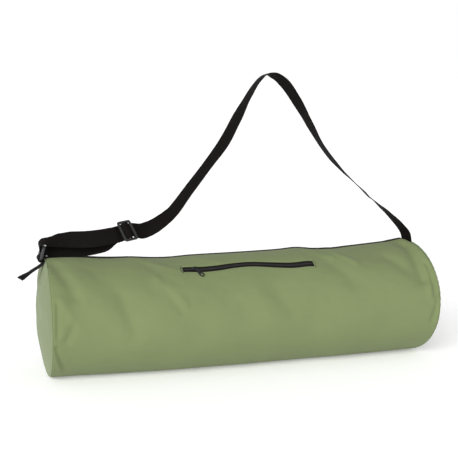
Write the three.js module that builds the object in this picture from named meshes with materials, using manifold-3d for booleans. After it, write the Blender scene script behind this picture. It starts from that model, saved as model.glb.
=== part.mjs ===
// Yoga mat bag: a cloth tube lying on its side, with two round ends, a zip along the top,
// a zipped pocket opening on the front and a webbing shoulder strap that stands in an arch.
// Units are millimetres. X runs along the bag, the pocket is on the -Y side, Z is up,
// and the bag rests on z = 0. The origin is under the middle of the bag.

import * as THREE from "three";
import * as BufferGeometryUtils from "three/addons/utils/BufferGeometryUtils.js";
import Module from "manifold-3d";

// Driving dimensions of the cloth bag
const BAG_LENGTH = 672;          // between the two end seams, along the axis
const BAG_DIAMETER = 206;        // of the cloth tube when it is round
const CLOTH = 1.6;               // wall of the tube and of the ends
const END_DOME = 14;             // how far a round end bulges out past its seam
const DOME_POWER = 2.6;          // how late the bulge falls off towards the seam
const SEAM_GAP = 0.3;            // between pieces that are sewn together
const LAYER_GAP = 0.5;           // between a zip tape and the cloth over it

const SHOULDER = 0.485;          // place of the last column of cloth before each seam
const TAPE_REACH = 12;           // of the rows of cloth that lie over a tape
const ROW_CELLS = [1, 2, 1, 1, 1, 12, 2, 13, 1];
const DOME_RINGS = [1, 0.93, 0.82, 0.66, 0.44, 0.22];

// Driving dimensions of the two zips
const COIL_WIDTH = 4;
const COIL_HEIGHT = 2.2;
const TAPE_WIDTH = 10;           // of one tape, from its inner edge to its outer edge
const TAPE_THICKNESS = 0.7;
const MAIN_ZIP_GAP = 8;          // between the two cloth edges along the top
const POCKET_LENGTH = 236;       // of the window in the cloth
const POCKET_HEIGHT = 14;
const POCKET_MIDDLE = 9;         // of the window, to the right of the bag's middle
const POCKET_TAPE_OVERLAP = 8;   // of the tape under the cloth past each end of the window
const MAIN_SLIDER_INSET = 46;    // of the top zip's slider, from the left seam
const POCKET_SLIDER_INSET = 20;  // of the pocket zip's slider, from the window's left end
const END_CLEARANCE = 1;         // of the top zip's ends, from the seams

// Driving dimensions of a zip slider and its pull tab
const SLIDER_LENGTH = 12;
const SLIDER_WIDTH = 8.4;
const SLIDER_PLATE = 1.2;
const BAIL_OPENING = 2.5;        // height of the arch that holds the tab
const BAIL_BAR = 0.9;
const BAIL_INSIDE = 4;           // length of the arch inside
const BAIL_WIDTH = 1;
const PULL_LENGTH = 25;
const PULL_WIDTH = 9;            // at its free end
const PULL_EYE_WIDTH = 7.8;      // at the end that hangs on the arch
const PULL_WAIST_WIDTH = 5.4;
const PULL_THICKNESS = 0.9;
const PULL_EYE_BAR = 0.9;
const PULL_EYE_LENGTH = 4.1;     // of the eye that the arch runs through, with its outer bar
const PULL_HOLE_PLACE = 19;      // of the oval hole, from the eye's bar
const PULL_HOLE_LENGTH = 6.4;
const PULL_HOLE_WIDTH = 4;

// Driving dimensions of the webbing and its hardware
const WEB_WIDTH = 30;
const WEB_THICKNESS = 1.3;
const STRAP_RISE = 308;          // top of the arch above the bag
const TRIGLIDE_LENGTH = 26;      // along the webbing
const TRIGLIDE_WIDTH = 40;       // across the webbing
const TRIGLIDE_THICKNESS = 2.6;
const TRIGLIDE_END_BAR = 4.2;
const TRIGLIDE_MIDDLE_BAR = 3.2;
const RING_WIDTH = 40;
const RING_HEIGHT = 26;
const RING_THICKNESS = 5.2;
const RING_BAR = 4;
const RING_STAND = 6;            // of the ring's middle, out from the left seam
const RING_RISE = 9.4;           // of the ring's middle, above the top of that seam
const RING_LEAN = 15;            // degrees that the ring's top leans towards the bag
const WEB_SLACK = 0.35;          // between webbing and the hardware or layer that it passes
const SLOT_SPARE = 0.7;           // of a slot in the hardware, past each edge of the webbing
const SLOT_SHIFT = 0.3;          // of the webbing in the strap's slider, towards its near edge
const LOOP_RADIUS = 8.2;         // of the loose turn that the strap takes through the ring
const LOOP_SHIFT = 1.5;          // of that turn's middle, from the ring's top bar towards the bag
const LOOP_TILT = 16;            // degrees that the near edge of that turn draws in at its start
const WEB_STEP = 14;             // longest step along the webbing
const TAB_WIDTH = 20;
const TAB_THICKNESS = 1.2;
const ANCHOR_WIDTH = 28;

// Cross sections of the tube. at: place along the bag, as a share of its length from the middle.
// high: height as a share of the diameter; the girth stays the same, so a lower section is wider.
// sway: how far the section leans to the front, as a share of the diameter.
// flat: half angle, in degrees, of the strip that rests. skew: how far the near side runs ahead.
const SECTIONS = [
  { at: -0.500, high: 0.996, sway: 0.000, flat: 10, skew: 0.00 },
  { at: -0.485, high: 0.999, sway: 0.000, flat: 10, skew: 0.00 },
  { at: -0.420, high: 0.995, sway: 0.005, flat: 11, skew: 0.00 },
  { at: -0.354, high: 0.973, sway: 0.010, flat: 13, skew: 0.00 },
  { at: -0.290, high: 0.962, sway: 0.015, flat: 14, skew: 0.00 },
  { at: -0.228, high: 0.945, sway: 0.018, flat: 15, skew: 0.00 },
  { at: -0.179, high: 0.940, sway: 0.020, flat: 15, skew: 0.00 },
  { at: -0.120, high: 0.949, sway: 0.020, flat: 15, skew: 0.00 },
  { at: 0.000, high: 0.952, sway: 0.020, flat: 15, skew: 0.00 },
  { at: 0.122, high: 0.959, sway: 0.015, flat: 14, skew: 0.00 },
  { at: 0.173, high: 0.970, sway: 0.012, flat: 14, skew: 0.00 },
  { at: 0.225, high: 0.957, sway: 0.010, flat: 14, skew: 0.00 },
  { at: 0.314, high: 0.959, sway: 0.008, flat: 13, skew: 0.01 },
  { at: 0.385, high: 0.971, sway: 0.004, flat: 12, skew: 0.05 },
  { at: 0.440, high: 0.984, sway: 0.000, flat: 11, skew: 0.11 },
  { at: 0.485, high: 1.008, sway: 0.000, flat: 10, skew: 0.18 },
  { at: 0.500, high: 1.000, sway: 0.000, flat: 10, skew: 0.19 },
];

// Line of the top zip: degrees from the top of the section towards the front
const MAIN_ZIP_LINE = [
  { at: -0.500, deg: 2 },
  { at: -0.360, deg: 1 },
  { at: -0.220, deg: -6 },
  { at: 0.000, deg: -8 },
  { at: 0.150, deg: -7 },
  { at: 0.260, deg: 1 },
  { at: 0.330, deg: -5 },
  { at: 0.500, deg: -7 },
];

// Line of the pocket zip, in the same degrees
const POCKET_LINE = [
  { at: -0.500, deg: 29.0 },
  { at: -0.160, deg: 27.6 },
  { at: -0.115, deg: 29.6 },
  { at: -0.064, deg: 28.6 },
  { at: -0.030, deg: 26.8 },
  { at: 0.019, deg: 26.2 },
  { at: 0.093, deg: 30.4 },
  { at: 0.142, deg: 33.0 },
  { at: 0.187, deg: 33.2 },
  { at: 0.500, deg: 33.0 },
];

// Folds and dents of the tube. Each runs from one place to another on the cloth.
// wide: half width as a share of the diameter. lift: height as a share of the diameter, down if negative.
const FOLDS = [
  { at: -0.400, deg: 30, toAt: -0.300, toDeg: 75, wide: 0.13, lift: -0.016 },
  { at: -0.272, deg: 12, toAt: -0.186, toDeg: 48, wide: 0.10, lift: 0.010 },
  { at: -0.225, deg: 60, toAt: -0.150, toDeg: 95, wide: 0.14, lift: -0.014 },
  { at: -0.080, deg: 55, toAt: 0.000, toDeg: 85, wide: 0.14, lift: -0.012 },
  { at: 0.090, deg: 55, toAt: 0.150, toDeg: 90, wide: 0.15, lift: -0.013 },
  { at: 0.250, deg: 16, toAt: 0.310, toDeg: 45, wide: 0.10, lift: 0.010 },
  { at: 0.320, deg: 55, toAt: 0.370, toDeg: 100, wide: 0.15, lift: -0.016 },
  { at: 0.470, deg: 8, toAt: 0.460, toDeg: 62, wide: 0.09, lift: -0.020 },
  { at: -0.250, deg: 285, toAt: -0.100, toDeg: 320, wide: 0.15, lift: -0.014 },
  { at: 0.100, deg: 270, toAt: 0.220, toDeg: 315, wide: 0.15, lift: -0.014 },
  { at: 0.350, deg: 260, toAt: 0.400, toDeg: 300, wide: 0.14, lift: -0.012 },
];

// The strap's arch, from the right end seam to the slider. at: share of the bag's length from the middle.
// rise: height above the bag as a share of STRAP_RISE. toFront: millimetres from the middle, if any.
// turn: degrees that the near edge turns downwards.
const ARCH = [
  { at: 0.4965, rise: 0.003, turn: -12 },
  { at: 0.4930, rise: 0.045, turn: -14 },
  { at: 0.4710, rise: 0.104, turn: -10 },
  { at: 0.4340, rise: 0.180, turn: -2 },
  { at: 0.3970, rise: 0.247, turn: 8 },
  { at: 0.3730, rise: 0.290, turn: 16 },
  { at: 0.3430, rise: 0.350, turn: 11 },
  { at: 0.3070, rise: 0.420, turn: 6 },
  { at: 0.2720, rise: 0.500, turn: 0 },
  { at: 0.2370, rise: 0.598, turn: 0 },
  { at: 0.2020, rise: 0.725, turn: -9 },
  { at: 0.1670, rise: 0.850, turn: -19 },
  { at: 0.1350, rise: 0.944, turn: -23 },
  { at: 0.1100, rise: 0.986, turn: -18 },
  { at: 0.0860, rise: 0.998, turn: -5 },
  { at: 0.0620, rise: 0.958, turn: 0 },
  { at: 0.0340, rise: 0.868, turn: 6 },
  { at: 0.0020, rise: 0.742, turn: 20 },
  { at: -0.0310, rise: 0.612, turn: 24 },
  { at: -0.0790, rise: 0.475, turn: 19 },
  { at: -0.1280, rise: 0.341, turn: 22 },
  { at: -0.1684, rise: 0.2268, toFront: -1.5, turn: 28 },
  { at: -0.1849, rise: 0.1935, toFront: -3.4, turn: 34 },
  { at: -0.2015, rise: 0.1669, toFront: -4.4, turn: 40 },
  { at: -0.2186, rise: 0.1443, toFront: -4.6, turn: 46 },
  { at: -0.2358, rise: 0.1291, toFront: -3.6, turn: 52 },
  { at: -0.2536, rise: 0.1208, toFront: -1.2, turn: 56 },
];
// Middle of the strap's slider in the same shares; its near edge lies lower and its right end further back
const TRIGLIDE_PLACE = { at: -0.291, rise: 0.1315, toFront: 8, turn: 50, heading: 20, climb: 6 };

// The upper layer from the slider to the ring, and the lower layer back
const UPPER_LAYER = [
  { at: -0.3198, rise: 0.1153, toFront: 15, turn: 58 },
  { at: -0.3434, rise: 0.1078, toFront: 17, turn: 63 },
  { at: -0.3658, rise: 0.1016, toFront: 18, turn: 66 },
  { at: -0.4038, rise: 0.0953, toFront: 14, turn: 65 },
  { at: -0.4319, rise: 0.0960, toFront: 9, turn: 57 },
  { at: -0.4625, rise: 0.0925, toFront: 4, turn: 42 },
  { at: -0.4870, rise: 0.0860, toFront: 1, turn: 24 },
];
const LOWER_LAYER = [
  { at: -0.4860, rise: 0.030, toFront: -3, turn: 28 },
  { at: -0.4614, rise: 0.033, toFront: -1, turn: 38 },
  { at: -0.4294, rise: 0.037, toFront: 2, turn: 42 },
  { at: -0.4004, rise: 0.036, toFront: 2, turn: 44 },
  { at: -0.3733, rise: 0.046, toFront: 3, turn: 48 },
  { at: -0.3489, rise: 0.064, toFront: 6, turn: 54 },
];

// Webbing at the left seam. out: from the seam, away from the bag; up: from the top of the seam;
// toFront: from the middle. edgeOut, edgeUp: how the near edge turns. All in millimetres and shares.
const ANCHOR_OUT = [
  { out: -1, up: 3.1 },
  { out: 3, up: 3.5 },
];
const ANCHOR_BACK = [
  { out: 4.5, up: 1.4 },
  { out: -1, up: 1.45 },
];
const TAB_LINE = [
  { out: 3.3, up: -2.6, toFront: 10.7, edgeOut: 0.00, edgeUp: -0.08 },
  { out: 5.6, up: -7.6, toFront: 10.9, edgeOut: 0.05, edgeUp: -0.03 },
  { out: 25.5, up: -19.5, toFront: 17.6, edgeOut: -0.03, edgeUp: -0.01 },
  { out: 45.2, up: -30.1, toFront: 24.1, edgeOut: -0.27, edgeUp: -0.17 },
];

const BAG_RADIUS = BAG_DIAMETER / 2;
const FRONT = new THREE.Vector3(0, -1, 0);

const wasm = await Module();
wasm.setup();

// Small helpers

function radians(degrees) {
  return THREE.MathUtils.degToRad(degrees);
}

// Smooth value of one column of a table at a place along the bag
function column(table, name, at) {
  let i = 0;
  while (i < table.length - 2 && at > table[i + 1].at) i += 1;
  const before = table[Math.max(i - 1, 0)];
  const from = table[i];
  const to = table[i + 1];
  const after = table[Math.min(i + 2, table.length - 1)];
  const span = to.at - from.at;
  const t = THREE.MathUtils.clamp((at - from.at) / span, 0, 1);
  const slopeFrom = (to[name] - before[name]) / (to.at - before.at) * span;
  const slopeTo = (after[name] - from[name]) / (after.at - from.at) * span;
  const t2 = t * t;
  const t3 = t2 * t;
  return (2 * t3 - 3 * t2 + 1) * from[name] + (t3 - 2 * t2 + t) * slopeFrom
    + (3 * t2 - 2 * t3) * to[name] + (t3 - t2) * slopeTo;
}

// A closed body from its points and triangles, turned so that its faces point out
function solid(points, triangles) {
  let volume = 0;
  const cross = new THREE.Vector3();
  for (const [a, b, c] of triangles) {
    volume += points[a].dot(cross.crossVectors(points[b], points[c]));
  }
  const ordered = volume < 0 ? triangles.map(([a, b, c]) => [a, c, b]) : triangles;
  const geometry = new THREE.BufferGeometry();
  geometry.setAttribute("position", new THREE.Float32BufferAttribute(points.flatMap((p) => p.toArray()), 3));
  geometry.setIndex(ordered.flat());
  geometry.computeVertexNormals();
  return geometry;
}

// A closed body through a row of rings that have equally many points, with flat fans at both ends
function loft(rings) {
  const count = rings[0].length;
  const triangles = [];
  for (let i = 0; i < rings.length - 1; i += 1) {
    for (let k = 0; k < count; k += 1) {
      const a = i * count + k;
      const b = i * count + (k + 1) % count;
      triangles.push([a, b, b + count], [a, b + count, a + count]);
    }
  }
  const last = (rings.length - 1) * count;
  for (let k = 1; k < count - 1; k += 1) {
    triangles.push([0, k + 1, k], [last, last + k, last + k + 1]);
  }
  return solid(rings.flat(), triangles);
}

function toManifold(geometry) {
  const plain = geometry.clone();
  plain.deleteAttribute("normal");
  plain.deleteAttribute("uv");
  const merged = BufferGeometryUtils.mergeVertices(plain, 1e-4);
  return new wasm.Manifold(new wasm.Mesh({
    numProp: 3,
    vertProperties: new Float32Array(merged.attributes.position.array),
    triVerts: new Uint32Array(merged.index.array),
  }));
}

function joined(first, second) {
  const mesh = toManifold(first).add(toManifold(second)).getMesh();
  const geometry = new THREE.BufferGeometry();
  geometry.setAttribute("position", new THREE.Float32BufferAttribute(mesh.vertProperties, 3));
  geometry.setIndex([...mesh.triVerts]);
  geometry.computeVertexNormals();
  return geometry;
}

// A plate of a flat outline, centred on its own thickness
function plate(shape, thickness) {
  const extrusion = { depth: thickness, bevelEnabled: false, curveSegments: 3 };
  const geometry = new THREE.ExtrudeGeometry(shape, extrusion);
  return geometry.translate(0, 0, -thickness / 2);
}

function roundedRectangle(target, length, width, radius, middleX = 0) {
  const x = length / 2;
  const y = width / 2;
  target.moveTo(middleX - x + radius, -y);
  target.lineTo(middleX + x - radius, -y);
  target.quadraticCurveTo(middleX + x, -y, middleX + x, -y + radius);
  target.lineTo(middleX + x, y - radius);
  target.quadraticCurveTo(middleX + x, y, middleX + x - radius, y);
  target.lineTo(middleX - x + radius, y);
  target.quadraticCurveTo(middleX - x, y, middleX - x, y - radius);
  target.lineTo(middleX - x, -y + radius);
  target.quadraticCurveTo(middleX - x, -y, middleX - x + radius, -y);
  return target;
}

// The bag's outer surface

// Height of the folds at a place on the cloth, none where the bag rests
function foldLift(at, deg) {
  const degreesToLength = radians(1) * BAG_RADIUS;
  let lift = 0;
  for (const fold of FOLDS) {
    const run = (fold.toAt - fold.at) * BAG_LENGTH;
    const along = new THREE.Vector2(run, (fold.toDeg - fold.deg) * degreesToLength);
    const turn = THREE.MathUtils.euclideanModulo(deg - fold.deg + 180, 360) - 180;
    const here = new THREE.Vector2((at - fold.at) * BAG_LENGTH, turn * degreesToLength);
    const share = THREE.MathUtils.clamp(here.dot(along) / along.lengthSq(), 0, 1);
    const distance = here.addScaledVector(along, -share).length() / (fold.wide * BAG_DIAMETER);
    lift += fold.lift * BAG_DIAMETER * Math.exp(-distance * distance);
  }
  const fromRest = Math.abs(THREE.MathUtils.euclideanModulo(deg, 360) - 180);
  return lift * THREE.MathUtils.smoothstep(fromRest, 25, 55);
}

// A point of the smooth tube, before folds. deg runs from the top over the front.
function tubePoint(at, deg) {
  const high = column(SECTIONS, "high", at) * BAG_DIAMETER;
  const wide = 2 * BAG_DIAMETER - high;
  const flat = (1 - Math.cos(radians(column(SECTIONS, "flat", at)))) / 2;
  const around = radians(deg);
  const level = (1 + Math.cos(around)) / 2;
  const y = -wide / 2 * Math.sin(around) - column(SECTIONS, "sway", at) * BAG_DIAMETER;
  const z = high * Math.max(0, level - flat) / (1 - flat);
  return new THREE.Vector3(at * BAG_LENGTH - column(SECTIONS, "skew", at) * y, y, z);
}

function tubeNormal(at, deg) {
  const step = 0.002;
  const turn = 1;
  const before = Math.max(at - step, -0.5);
  const after = Math.min(at + step, 0.5);
  const along = tubePoint(after, deg).sub(tubePoint(before, deg));
  const around = tubePoint(at, deg + turn).sub(tubePoint(at, deg - turn));
  return around.cross(along).normalize();
}

// A point of the cloth, or of what lies under it by a depth
function clothPoint(at, deg, depth = 0) {
  return tubePoint(at, deg).addScaledVector(tubeNormal(at, deg), foldLift(at, deg) - depth);
}

function degreesOf(arc) {
  return THREE.MathUtils.radToDeg(arc / BAG_RADIUS);
}

// Places between named knots, each stretch cut into equal steps
function steps(knots) {
  const places = [];
  for (const { value, cells } of knots) {
    const next = knots[knots.findIndex((knot) => knot.value === value) + 1];
    if (!next) {
      places.push(value);
      break;
    }
    for (let i = 0; i < cells; i += 1) places.push(value + (next.value - value) * i / cells);
  }
  return places;
}

const POCKET_LEFT = (POCKET_MIDDLE - POCKET_LENGTH / 2) / BAG_LENGTH;
const POCKET_RIGHT = (POCKET_MIDDLE + POCKET_LENGTH / 2) / BAG_LENGTH;
const TAPE_OVERLAP = POCKET_TAPE_OVERLAP / BAG_LENGTH;

const COLUMNS = steps([
  { value: -0.5, cells: 1 },
  { value: -SHOULDER, cells: 12 },
  { value: POCKET_LEFT - TAPE_OVERLAP, cells: 1 },
  { value: POCKET_LEFT, cells: 14 },
  { value: POCKET_RIGHT, cells: 1 },
  { value: POCKET_RIGHT + TAPE_OVERLAP, cells: 11 },
  { value: SHOULDER, cells: 1 },
  { value: 0.5, cells: 0 },
]);

// Rows of cloth, from the front edge of the top zip round to its back edge
const POCKET_ROW = ROW_CELLS[0] + ROW_CELLS[1] + ROW_CELLS[2];

// Degrees of the rows at a place
function rowDegrees(at) {
  const zip = column(MAIN_ZIP_LINE, "deg", at);
  const pocket = column(POCKET_LINE, "deg", at);
  const flat = column(SECTIONS, "flat", at);
  const zipHalf = degreesOf(MAIN_ZIP_GAP / 2);
  const pocketHalf = degreesOf(POCKET_HEIGHT / 2);
  const reach = degreesOf(TAPE_REACH);
  const edges = [
    zip + zipHalf,
    zip + zipHalf + reach,
    pocket - pocketHalf - reach,
    pocket - pocketHalf,
    pocket + pocketHalf,
    pocket + pocketHalf + reach,
    180 - flat,
    180 + flat,
    360 + zip - zipHalf - reach,
    360 + zip - zipHalf,
  ];
  return steps(edges.map((value, i) => ({ value, cells: ROW_CELLS[i] ?? 0 })));
}

// Wall of cloth over a grid of outer and inner points, where some cells may be left open
function clothWall(outer, inner, isCell) {
  const columns = outer.length;
  const rows = outer[0].length;
  const points = [...outer.flat(), ...inner.flat()];
  const under = columns * rows;
  const triangles = [];
  const present = (i, j) => i >= 0 && j >= 0 && i < columns - 1 && j < rows - 1 && isCell(i, j);
  const edge = (a, b) => triangles.push([a, b, b + under], [a, b + under, a + under]);
  for (let i = 0; i < columns - 1; i += 1) {
    for (let j = 0; j < rows - 1; j += 1) {
      if (!present(i, j)) continue;
      const a = i * rows + j;
      const b = a + 1;
      const c = a + rows + 1;
      const d = a + rows;
      triangles.push([a, c, b], [a, d, c]);
      triangles.push([a + under, b + under, c + under], [a + under, c + under, d + under]);
      if (!present(i - 1, j)) edge(a, b);
      if (!present(i, j + 1)) edge(b, c);
      if (!present(i + 1, j)) edge(c, d);
      if (!present(i, j - 1)) edge(d, a);
    }
  }
  const used = [...new Set(triangles.flat())];
  const place = new Map(used.map((old, i) => [old, i]));
  return solid(used.map((i) => points[i]), triangles.map((t) => t.map((i) => place.get(i))));
}

function bodyPanel() {
  const outer = COLUMNS.map((at) => rowDegrees(at).map((deg) => clothPoint(at, deg)));
  const inner = COLUMNS.map((at) => rowDegrees(at).map((deg) => clothPoint(at, deg, CLOTH)));
  const left = COLUMNS.indexOf(POCKET_LEFT);
  const right = COLUMNS.indexOf(POCKET_RIGHT);
  return clothWall(outer, inner, (i, j) => j !== POCKET_ROW || i < left || i >= right);
}

// A round end: rings shrink from the seam to the middle while the cloth bulges out
function endPanel(side) {
  const at = side * 0.5;
  const degrees = rowDegrees(at);
  const rim = degrees.map((deg) => tubePoint(at, deg));
  const middle = new THREE.Vector3();
  const box = new THREE.Box3().setFromPoints(rim);
  box.getCenter(middle);
  const ring = (share, inset) => rim.map((point) => {
    const out = side * (SEAM_GAP + CLOTH - inset + END_DOME * (1 - share ** DOME_POWER));
    return middle.clone().lerp(point, share).add(new THREE.Vector3(out, 0, 0));
  });
  const count = rim.length;
  const outerRings = DOME_RINGS.map((share) => ring(share, 0));
  const innerRings = DOME_RINGS.map((share) => ring(share, CLOTH)).reverse();
  const tip = (inset) => {
    return middle.clone().add(new THREE.Vector3(side * (SEAM_GAP + CLOTH - inset + END_DOME), 0, 0));
  };
  const rings = [...innerRings, ...outerRings];
  const points = [...rings.flat(), tip(CLOTH), tip(0)];
  const triangles = [];
  for (let i = 0; i < rings.length - 1; i += 1) {
    for (let k = 0; k < count; k += 1) {
      const a = i * count + k;
      const b = i * count + (k + 1) % count;
      triangles.push([a, b, b + count], [a, b + count, a + count]);
    }
  }
  const last = (rings.length - 1) * count;
  const innerTip = rings.length * count;
  for (let k = 0; k < count; k += 1) {
    const next = (k + 1) % count;
    triangles.push([innerTip, next, k], [innerTip + 1, last + k, last + next]);
  }
  return solid(points, triangles);
}

// Zips

// A strip that follows a line on the cloth. profile: points across it, as arc from the line and depth.
function stripUnderCloth(places, line, profile) {
  return loft(places.map((at) => profile.map(({ arc, depth }) => {
    return clothPoint(at, column(line, "deg", at) + degreesOf(arc), depth);
  })));
}

const TAPE_TOP = CLOTH + LAYER_GAP;
const COIL_TOP = SEAM_GAP;

function tapeProfile(side) {
  const near = side * (COIL_WIDTH / 2 + SEAM_GAP);
  const far = side * (COIL_WIDTH / 2 + SEAM_GAP + TAPE_WIDTH);
  return [
    { arc: near, depth: TAPE_TOP },
    { arc: far, depth: TAPE_TOP },
    { arc: far, depth: TAPE_TOP + TAPE_THICKNESS },
    { arc: near, depth: TAPE_TOP + TAPE_THICKNESS },
  ];
}

function coilProfile() {
  const half = COIL_WIDTH / 2;
  const bottom = COIL_TOP + COIL_HEIGHT;
  const shoulder = COIL_TOP + COIL_HEIGHT * 0.4;
  return [
    { arc: -half * 0.5, depth: COIL_TOP },
    { arc: half * 0.5, depth: COIL_TOP },
    { arc: half, depth: shoulder },
    { arc: half, depth: bottom },
    { arc: -half, depth: bottom },
    { arc: -half, depth: shoulder },
  ];
}

// The columns between two of them, drawn in by a clearance at both ends
function placesBetween(from, to, clearance) {
  const inset = clearance / BAG_LENGTH;
  const places = COLUMNS.filter((at) => at >= from && at <= to);
  return places.map((at) => THREE.MathUtils.clamp(at, from + inset, to - inset));
}

const MAIN_PLACES = placesBetween(-0.5, 0.5, END_CLEARANCE);
const TAPE_PLACES = placesBetween(POCKET_LEFT - TAPE_OVERLAP, POCKET_RIGHT + TAPE_OVERLAP, 0);
const WINDOW_PLACES = placesBetween(POCKET_LEFT, POCKET_RIGHT, SEAM_GAP);

// Frame on the cloth: x along the bag, y up over the bag and down its back, z out of the cloth
function clothFrame(at, deg, depth) {
  const origin = clothPoint(at, deg, depth);
  const out = tubeNormal(at, deg);
  const along = tubePoint(at + 0.005, deg).sub(tubePoint(at - 0.005, deg)).normalize();
  const across = new THREE.Vector3().crossVectors(out, along).normalize();
  along.crossVectors(across, out);
  return new THREE.Matrix4().makeBasis(along, across, out).setPosition(origin);
}

// A zip slider: a plate over the coil, with an arch that holds the tab
function zipSlider() {
  const base = new THREE.Shape();
  roundedRectangle(base, SLIDER_LENGTH, SLIDER_WIDTH, SLIDER_WIDTH * 0.35);
  const body = plate(base, SLIDER_PLATE).translate(0, 0, SLIDER_PLATE / 2);
  const inside = BAIL_INSIDE / 2;
  const outside = inside + BAIL_BAR;
  const foot = SLIDER_PLATE / 2;
  const ceiling = SLIDER_PLATE + BAIL_OPENING;
  const arch = new THREE.Shape();
  arch.moveTo(-outside, foot);
  arch.lineTo(-outside, ceiling);
  arch.lineTo(-inside, ceiling + BAIL_BAR);
  arch.lineTo(inside, ceiling + BAIL_BAR);
  arch.lineTo(outside, ceiling);
  arch.lineTo(outside, foot);
  arch.lineTo(inside, foot);
  arch.lineTo(inside, ceiling);
  arch.lineTo(-inside, ceiling);
  arch.lineTo(-inside, foot);
  arch.closePath();
  const bail = plate(arch, BAIL_WIDTH).rotateX(Math.PI / 2);
  return joined(body, bail);
}

// The tab: x runs from the eye's bar to the free end
function zipPull() {
  const bar = PULL_EYE_BAR / 2;
  const eyeHalf = PULL_EYE_WIDTH / 2;
  const endHalf = PULL_WIDTH / 2;
  const waist = PULL_WAIST_WIDTH / 2;
  const far = PULL_LENGTH - bar;
  const waistPlace = 1.8 * PULL_EYE_LENGTH;
  const outline = new THREE.Shape();
  outline.moveTo(-bar, -eyeHalf);
  outline.lineTo(PULL_EYE_LENGTH, -eyeHalf);
  outline.lineTo(waistPlace, -waist);
  outline.lineTo(far * 0.75, -endHalf);
  outline.quadraticCurveTo(far, -endHalf, far, 0);
  outline.quadraticCurveTo(far, endHalf, far * 0.75, endHalf);
  outline.lineTo(waistPlace, waist);
  outline.lineTo(PULL_EYE_LENGTH, eyeHalf);
  outline.lineTo(-bar, eyeHalf);
  outline.closePath();
  const eye = new THREE.Path();
  const side = PULL_EYE_BAR;
  eye.moveTo(bar, -eyeHalf + side);
  eye.lineTo(PULL_EYE_LENGTH, -eyeHalf + side);
  eye.lineTo(PULL_EYE_LENGTH, eyeHalf - side);
  eye.lineTo(bar, eyeHalf - side);
  eye.closePath();
  const hole = new THREE.Path();
  hole.absellipse(PULL_HOLE_PLACE, 0, PULL_HOLE_LENGTH / 2, PULL_HOLE_WIDTH / 2, 0, Math.PI * 2);
  outline.holes.push(eye, hole);
  return plate(outline, PULL_THICKNESS);
}

// Places the tab on its slider: swing turns it in the plane of the cloth, dip lays it on the cloth
function pullMatrix(frame, swing, dip) {
  const height = SLIDER_PLATE + BAIL_OPENING - PULL_THICKNESS / 2 - SEAM_GAP;
  const lift = new THREE.Matrix4().makeTranslation(0, 0, height);
  const turn = new THREE.Matrix4().makeRotationZ(radians(swing));
  const lower = new THREE.Matrix4().makeRotationY(radians(dip));
  return frame.clone().multiply(lift).multiply(turn).multiply(lower);
}

// Webbing

// Direction from the far edge to the near edge of a webbing that runs along a tangent
function nearEdge(tangent, turn) {
  const inward = new THREE.Vector3().crossVectors(tangent, FRONT).normalize();
  if (inward.z > 0) inward.negate();
  const level = FRONT.clone().multiplyScalar(Math.cos(radians(turn)));
  return level.addScaledVector(inward, Math.sin(radians(turn)));
}

// A flat webbing through stations that each have a place and the direction of its near edge
function webbing(stations, width, thickness, longestStep) {
  const curve = new THREE.CatmullRomCurve3(stations.map((s) => s.place), false, "centripetal");
  const spans = stations.length - 1;
  const rings = [];
  for (let i = 0; i < spans; i += 1) {
    const from = stations[i];
    const to = stations[i + 1];
    const cells = Math.max(1, Math.ceil(from.place.distanceTo(to.place) / longestStep));
    const count = i === spans - 1 ? cells + 1 : cells;
    for (let k = 0; k < count; k += 1) {
      const t = (i + k / cells) / spans;
      const middle = curve.getPoint(t);
      const tangent = curve.getTangent(t);
      const edge = from.edge.clone().lerp(to.edge, k / cells);
      edge.addScaledVector(tangent, -edge.dot(tangent)).normalize();
      const face = new THREE.Vector3().crossVectors(tangent, edge);
      const nearSide = middle.clone().addScaledVector(edge, width / 2);
      const farSide = middle.clone().addScaledVector(edge, -width / 2);
      const half = face.multiplyScalar(thickness / 2);
      const under = [farSide.clone().sub(half), nearSide.clone().sub(half)];
      rings.push([...under, nearSide.add(half), farSide.add(half)]);
    }
  }
  return loft(rings);
}

function strapPlace({ at, rise, toFront = 0 }) {
  return new THREE.Vector3(at * BAG_LENGTH, -toFront, BAG_DIAMETER + rise * STRAP_RISE);
}

// Stations of a table of rows, where each edge direction follows from the run of the places
function stationsOf(rows) {
  const places = rows.map(strapPlace);
  return rows.map((row, i) => {
    const before = places[Math.max(i - 1, 0)];
    const after = places[Math.min(i + 1, places.length - 1)];
    const tangent = after.clone().sub(before).normalize();
    return { place: places[i], edge: nearEdge(tangent, row.turn) };
  });
}

// The strap slider's frame: x towards the arch, y towards the near edge, z out of the visible face
function triglideFrame() {
  const heading = radians(TRIGLIDE_PLACE.heading);
  const climb = radians(TRIGLIDE_PLACE.climb);
  const along = new THREE.Vector3(
    Math.cos(climb) * Math.cos(heading),
    Math.cos(climb) * Math.sin(heading),
    Math.sin(climb),
  );
  const edge = nearEdge(along, TRIGLIDE_PLACE.turn);
  edge.addScaledVector(along, -edge.dot(along)).normalize();
  const out = new THREE.Vector3().crossVectors(edge, along);
  const across = new THREE.Vector3().crossVectors(out, along);
  return new THREE.Matrix4().makeBasis(along, across, out).setPosition(strapPlace(TRIGLIDE_PLACE));
}

const TRIGLIDE = triglideFrame();
const FRAME_HALF = TRIGLIDE_THICKNESS / 2;
const WEB_HALF = WEB_THICKNESS / 2;
const SLOT_OUTER = TRIGLIDE_LENGTH / 2 - TRIGLIDE_END_BAR;
const BAR_HALF = TRIGLIDE_MIDDLE_BAR / 2;
const SEWN_RADIUS = Math.hypot(BAR_HALF, FRAME_HALF) + WEB_SLACK + WEB_HALF;
const UNDER_LEVEL = -(FRAME_HALF + 2 * WEB_SLACK + WEB_HALF);

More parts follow.
